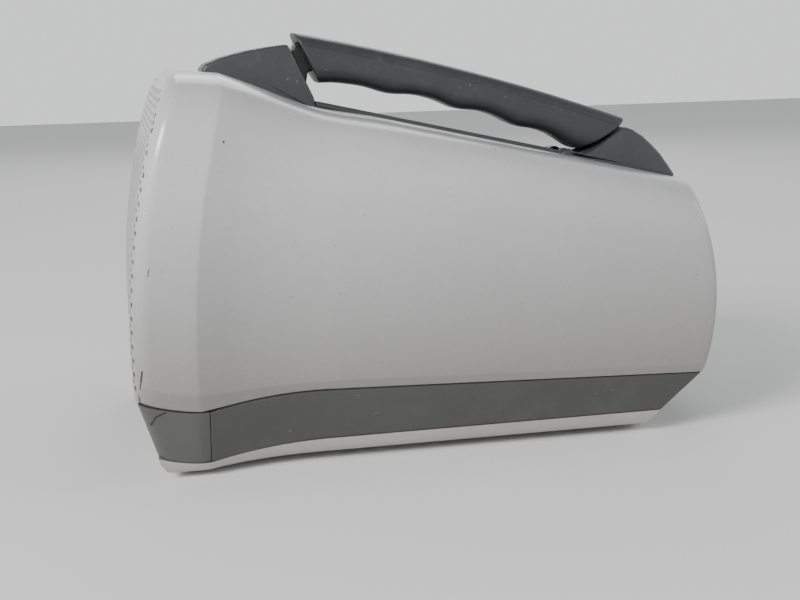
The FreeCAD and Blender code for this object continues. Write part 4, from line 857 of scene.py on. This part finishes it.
angles = np.linspace(0.0, 2 * math.pi, 41)[:-1]
angles = angles + 0.2 * np.sin(4 * angles)
strap_rows = [np.stack(np.broadcast_arrays(*strap_point(np.full(40, x), angles)), -1)
              for x in np.concatenate([[-86.0, -80.0, -74.0, -70.4, -70.3, -67.2, -67.1, -64.0, -61.8, -61.7,
                                        -60.4, -56.0, -50.0], np.linspace(-40.0, 90.0, 14),
                                       np.linspace(94.0, 139.4, 24)])]
ends = [row * 0 + row.mean(0) for row in (strap_rows[0], strap_rows[-1])]
strap = np.array([ends[0]] + strap_rows + [ends[1]])
points = strap.reshape(-1, 3)
faces = grid_faces(strap.shape[0], 40, 0, True)
axis_z = np.array([row[:, 2].mean() for row in strap])
middle = np.stack([strap[:, :, 0].ravel(), np.zeros(len(points)), np.repeat(axis_z, 40)], -1)
faces = outward(points, faces, middle[faces[:, 0]])
build("strap_bar", points, faces, strap_black, "handle", "strap_black", ["handle_strap"], sharp=30.0)
plated = moulded("plated_steel", (0.55, 0.55, 0.54), (0.48, 0.48, 0.47), 0.28, 400.0, 0.1, metal=1.0)
finish_node("handle_pin", plated)

# --- Front bezel, screen and picture tube -------------------------------------------------
# Light gray frame across the narrow front, a dark smoked filter over the screen, and behind
# it the glass tube with its copper windings, neck board and steel frame.

def see_through(material, share, index):
    """Lets part of the light through a finish."""
    shader = material.node_tree.nodes["Principled BSDF"]
    shader.inputs["Transmission Weight"].default_value = share
    shader.inputs["IOR"].default_value = index
    return material


def with_tracks(material, colour, scale, line):
    """Adds the net of conductors on a board: thin lines along the edges of Voronoi cells."""
    tree = material.node_tree
    shader = tree.nodes["Principled BSDF"]
    place = tree.nodes.new("ShaderNodeTexCoord")
    cells = tree.nodes.new("ShaderNodeTexVoronoi")
    cells.feature = "DISTANCE_TO_EDGE"
    cells.inputs["Scale"].default_value = scale
    thin = tree.nodes.new("ShaderNodeMapRange")
    for socket, value in (("From Min", line), ("From Max", line * 1.4), ("To Min", 1.0), ("To Max", 0.0)):
        thin.inputs[socket].default_value = value
    mix = tree.nodes.new("ShaderNodeMix")
    mix.data_type = "RGBA"
    base = shader.inputs["Base Color"].links[0].from_socket
    tree.links.new(place.outputs["Object"], cells.inputs["Vector"])
    tree.links.new(cells.outputs["Distance"], thin.inputs["Value"])
    tree.links.new(thin.outputs["Result"], mix.inputs[0])
    tree.links.new(base, mix.inputs[6])
    mix.inputs[7].default_value = colour + (1.0,)
    tree.links.new(mix.outputs[2], shader.inputs["Base Color"])
    return material


finish_node("front_bezel", moulded("bezel_gray", (0.40, 0.405, 0.40), (0.36, 0.365, 0.36), 0.42, 900.0, 0.30,
                                   dirt=0.5, rub=0.15, coat=0.1))
smoked_filter = moulded("smoked_filter", (0.030, 0.036, 0.036), (0.024, 0.028, 0.030), 0.07, 900.0, 0.02,
                        dirt=0.25, coat=0.6)
finish_node("screen_filter", see_through(smoked_filter, 0.45, 1.49))
finish_node("crt_tube", moulded("tube_glass", (0.19, 0.21, 0.19), (0.15, 0.17, 0.16), 0.12, 300.0, 0.04,
                                dirt=0.5, coat=0.5))
winding_copper = moulded("winding_copper", (0.42, 0.17, 0.07), (0.30, 0.11, 0.04), 0.34, 900.0, 0.9,
                         dirt=0.6, metal=0.8)
finish_node("deflection_yoke", winding_copper)
board_green = moulded("board_green", (0.020, 0.105, 0.045), (0.015, 0.085, 0.038), 0.34, 500.0, 0.2,
                      dirt=0.6, dirt_colour=(0.30, 0.28, 0.22), coat=0.3)
with_tracks(board_green, (0.055, 0.19, 0.085), 210.0, 0.07)
finish_node("neck_board", board_green)
frame_steel = moulded("frame_steel", (0.42, 0.42, 0.41), (0.34, 0.34, 0.34), 0.38, 300.0, 0.25,
                      dirt=0.5, metal=0.9)
finish_node("crt_frame", frame_steel)

# --- Control panel, keys and knobs --------------------------------------------------------
# Blue-gray panel set at an angle beside the screen: nine light keys in three rows, a large
# blue key, three small fluted knobs and a large one. Key tops are dished.
TURN, PANEL = math.radians(12.0), (151.5, 55.0, 79.0)


def on_panel(out, y, z):
    """Point given in the panel's own frame, out along its normal."""
    return np.stack([PANEL[0] + out * math.cos(TURN) - y * math.sin(TURN),
                     PANEL[1] + out * math.sin(TURN) + y * math.cos(TURN), PANEL[2] + z], axis=-1)


def solid_faces(points, faces):
    """Turns a closed piece's faces over if the volume that they enclose is negative."""
    a, b, c, d = (points[faces[:, k]] - points.mean(0) for k in range(4))
    if np.einsum("ij,ij->", np.cross(b - a, d - a) + np.cross(d - c, b - c), (a + c) / 2) < 0:
        return faces[:, ::-1]
    return faces


def closed_piece(name, rows, material, slot, sharp):
    """Makes a key or knob of the rows, closed by a middle point at either end."""
    ends = [np.broadcast_to(row.mean(0), row.shape) for row in (rows[0], rows[-1])]
    rows = np.array([ends[0]] + list(rows) + [ends[1]])
    points = rows.reshape(-1, 3)
    faces = solid_faces(points, grid_faces(rows.shape[0], rows.shape[1], 0, True))
    build(name + "_cap", points, faces, material, name + "_body", slot, [name], sharp=sharp)


panel_paint = moulded("panel_blue_gray", (0.15, 0.18, 0.21), (0.13, 0.16, 0.19), 0.45, 1200.0, 0.35,
                      dirt=0.7, dirt_colour=(0.30, 0.28, 0.24), rub=0.2)
finish_node("control_panel", panel_paint)
key_white = moulded("key_light", (0.50, 0.50, 0.47), (0.45, 0.45, 0.42), 0.40, 1100.0, 0.35,
                    dirt=0.9, dirt_colour=(0.22, 0.18, 0.12), rub=0.2, tone_scale=60.0)
key_blue = moulded("key_blue", (0.045, 0.13, 0.30), (0.035, 0.11, 0.26), 0.38, 1100.0, 0.35,
                   dirt=0.5, rub=0.35, tone_scale=60.0)
knob_dark = moulded("knob_dark", (0.045, 0.045, 0.050), (0.035, 0.035, 0.040), 0.42, 900.0, 0.3,
                    dirt=0.8, dirt_colour=(0.22, 0.20, 0.16), rub=0.35, tone_scale=60.0)
round_turn = np.linspace(0.0, 2 * math.pi, 65)[:-1]
key_turn = round_turn + 0.2 * np.sin(4 * round_turn)
key_list = [(name, 17.0 * (k % 3 - 1), -30.0 + 12.0 * (k // 3), 6.0, 4.0, key_white, "key_light")
            for k, name in enumerate(("key_depth", "key_focus", "key_invert", "key_mark", "key_measure",
                                      "key_enter", "key_cursor", "key_store", "key_annotate"))]
key_list.append(("key_freeze", 14.5, 26.0, 9.5, 7.5, key_blue, "key_blue"))
for name, y0, z0, half_y, half_z, material, slot in key_list:
    reach = corner_reach(key_turn, 8.0)
    levels = [(-3.8, 1.0, 1.0), (-2.85, 1.0, 1.0), (-2.8, 0.0, 1.0)]
    levels += [(2.2 - dz, -inset, 1.0) for dz, inset in edge_roll(0.6, 4, 0.6)[::-1]][:5]
    levels += [(2.2 - 0.45 * (1.0 - s * s), -0.6, s) for s in (0.85, 0.65, 0.4, 0.15)]
    rows = [on_panel(np.full(64, out), y0 + (half_y + grow) * share * reach * np.cos(key_turn),
                     z0 + (half_z + grow) * share * reach * np.sin(key_turn)) for out, grow, share in levels]
    closed_piece(name, rows, material, slot, 40.0)

knob_list = [("knob_gain", -14.5, 26.0, 10.5, 11.0)]
knob_list += [(name, 17.0 * (k - 1), 7.5, 6.0, 9.0)
              for k, name in enumerate(("knob_near", "knob_far", "knob_bright"))]
flute_turn = np.linspace(0.0, 2 * math.pi, 193)[:-1]
for name, y0, z0, radius, long in knob_list:
    top = 0.6 + long
    outline = [(-8.2, 1.99, 0), (0.55, 1.99, 0), (0.6, radius - 0.3, 0), (0.8, radius, 0), (2.2, radius, 0),
               (2.6, radius - 0.1, 1), (top * 0.5, radius - 0.3, 1), (top - 1.0, radius - 0.6, 1),
               (top - 0.4, radius - 0.9, 1), (top - 0.1, radius - 1.3, 0.5), (top, radius - 1.9, 0),
               (top, radius - 2.4, 0), (top - 0.5, radius - 2.9, 0)]
    outline += [(top - 0.5, (radius - 2.9) * s, 0) for s in (0.9, 0.75, 0.6, 0.45, 0.3, 0.15)]
    rows = []
    for out, r, fluted in outline:
        r = r - 0.45 * fluted * (0.5 - 0.5 * np.cos(flute_turn * (28 if radius > 8 else 18))) ** 2
        y, z = r * np.cos(flute_turn), r * np.sin(flute_turn)
        ridge = 0.45 * np.exp(-(y / 0.8) ** 4) * (z > 0.5) * (out > top - 0.6) * (r < radius - 2.8)
        rows.append(on_panel(out + ridge, y0 + y, z0 + z))
    closed_piece(name, rows, knob_dark, "knob_dark", 30.0)
finish_node("key_board", board_green)
switch_black = moulded("switch_black", (0.022, 0.022, 0.023), (0.030, 0.030, 0.030), 0.36, 700.0, 0.2,
                       dirt=0.5)
finish_node("key_switches", switch_black)
finish_node("control_pots", moulded("pot_case", (0.10, 0.12, 0.16), (0.08, 0.10, 0.13), 0.40, 500.0, 0.2,
                                    dirt=0.5))

# --- Probe socket and latch ---------------------------------------------------------------
# Cast socket in the right side with a block of gilt contacts, and the gray turning latch
# under it with its boss.
cast_metal = moulded("cast_metal", (0.48, 0.48, 0.47), (0.40, 0.40, 0.39), 0.42, 260.0, 0.5,
                     dirt=0.5, metal=0.85)
finish_node("probe_socket", cast_metal)
finish_node("latch_boss", cast_metal)
contact_gilt = moulded("contact_gilt", (0.62, 0.44, 0.16), (0.50, 0.34, 0.12), 0.28, 500.0, 0.2,
                       dirt=0.6, metal=0.9)
finish_node("probe_contacts", contact_gilt)
finish_node("probe_latch", moulded("latch_gray", (0.16, 0.165, 0.17), (0.13, 0.135, 0.14), 0.40, 900.0, 0.35,
                                   dirt=0.6, rub=0.35))

# --- Rear connections ---------------------------------------------------------------------
# Zinc plate in the belt's window with the mains inlet, rocker switch, fuse holder, video
# socket and bonding stud.
zinc = moulded("zinc_plate", (0.52, 0.52, 0.50), (0.42, 0.42, 0.42), 0.36, 180.0, 0.35, dirt=0.7, metal=0.9)
for name in ("io_panel", "chassis_plate", "standoffs", "power_case"):
    finish_node(name, zinc)
for name in ("mains_inlet", "switch_case", "fuse_holder"):
    finish_node(name, switch_black)
rocker_red = moulded("rocker_red", (0.32, 0.030, 0.022), (0.27, 0.024, 0.020), 0.30, 700.0, 0.15,
                     dirt=0.5, coat=0.3)
finish_node("power_rocker", rocker_red)
finish_node("video_socket", plated)
finish_node("bonding_stud", moulded("stud_brass", (0.60, 0.44, 0.20), (0.48, 0.34, 0.15), 0.30, 500.0, 0.2,
                                    dirt=0.6, metal=0.95))

# --- Inside: fan, boards and power parts --------------------------------------------------
# Axial fan behind the vent panel, the main and scan boards, and the power supply's iron
# and copper, all standing on the zinc chassis.
fan_black = moulded("fan_black", (0.030, 0.030, 0.031), (0.024, 0.024, 0.025), 0.45, 600.0, 0.3,
                    dirt=1.0, dirt_colour=(0.25, 0.24, 0.21))
rotor_black = moulded("rotor_black", (0.036, 0.036, 0.038), (0.028, 0.028, 0.029), 0.38, 600.0, 0.2,
                      dirt=1.0, dirt_colour=(0.28, 0.27, 0.24))
finish_node("fan_frame", fan_black)
finish_node("fan_rotor", rotor_black)
finish_node("main_board", board_green)
finish_node("scan_board", board_green)
core_iron = moulded("core_iron", (0.085, 0.075, 0.065), (0.060, 0.055, 0.050), 0.45, 240.0, 0.6,
                    dirt=0.6, metal=0.5)
sleeve_blue = moulded("sleeve_blue", (0.030, 0.055, 0.12), (0.024, 0.045, 0.10), 0.30, 500.0, 0.1,
                      dirt=0.5, coat=0.3)
finish_node("transformer", core_iron)
finish_node("power_capacitor", sleeve_blue)
finish_node("base_screws", plated)

# --- Feet ---------------------------------------------------------------------------------
# Four low round pads moulded in black rubber and glued under the tray. The rear pair is
# thinner, because the tray is lower there.
foot_rubber = moulded("foot_rubber", (0.028, 0.027, 0.026), (0.040, 0.038, 0.036), 0.75, 500.0, 0.7,
                      dirt=1.0, dirt_colour=(0.20, 0.18, 0.15))
foot_points, foot_faces = [], []
for foot_x, foot_top in ((88.0, 2.78), (-138.0, 0.98)):
    for foot_y in (-52.0, 52.0):
        rows = []
        for z, r in [(0.0, 0.0), (0.0, 6.8), (0.0, 7.6), (0.2, 7.95), (foot_top - 0.2, 8.0),
                     (foot_top, 8.0), (foot_top, 0.0)]:
            rows.append(np.stack([foot_x + r * np.cos(round_turn), foot_y + r * np.sin(round_turn),
                                  np.full(64, z)], -1))
        points = np.array(rows).reshape(-1, 3)
        faces = solid_faces(points, grid_faces(len(rows), 64, 0, True))
        foot_faces.append(faces + 64 * len(rows) * len(foot_points))
        foot_points.append(points)
build("foot_pads", np.concatenate(foot_points), np.concatenate(foot_faces), foot_rubber,
      "case", "foot_rubber", ["rubber_feet"], sharp=50.0)
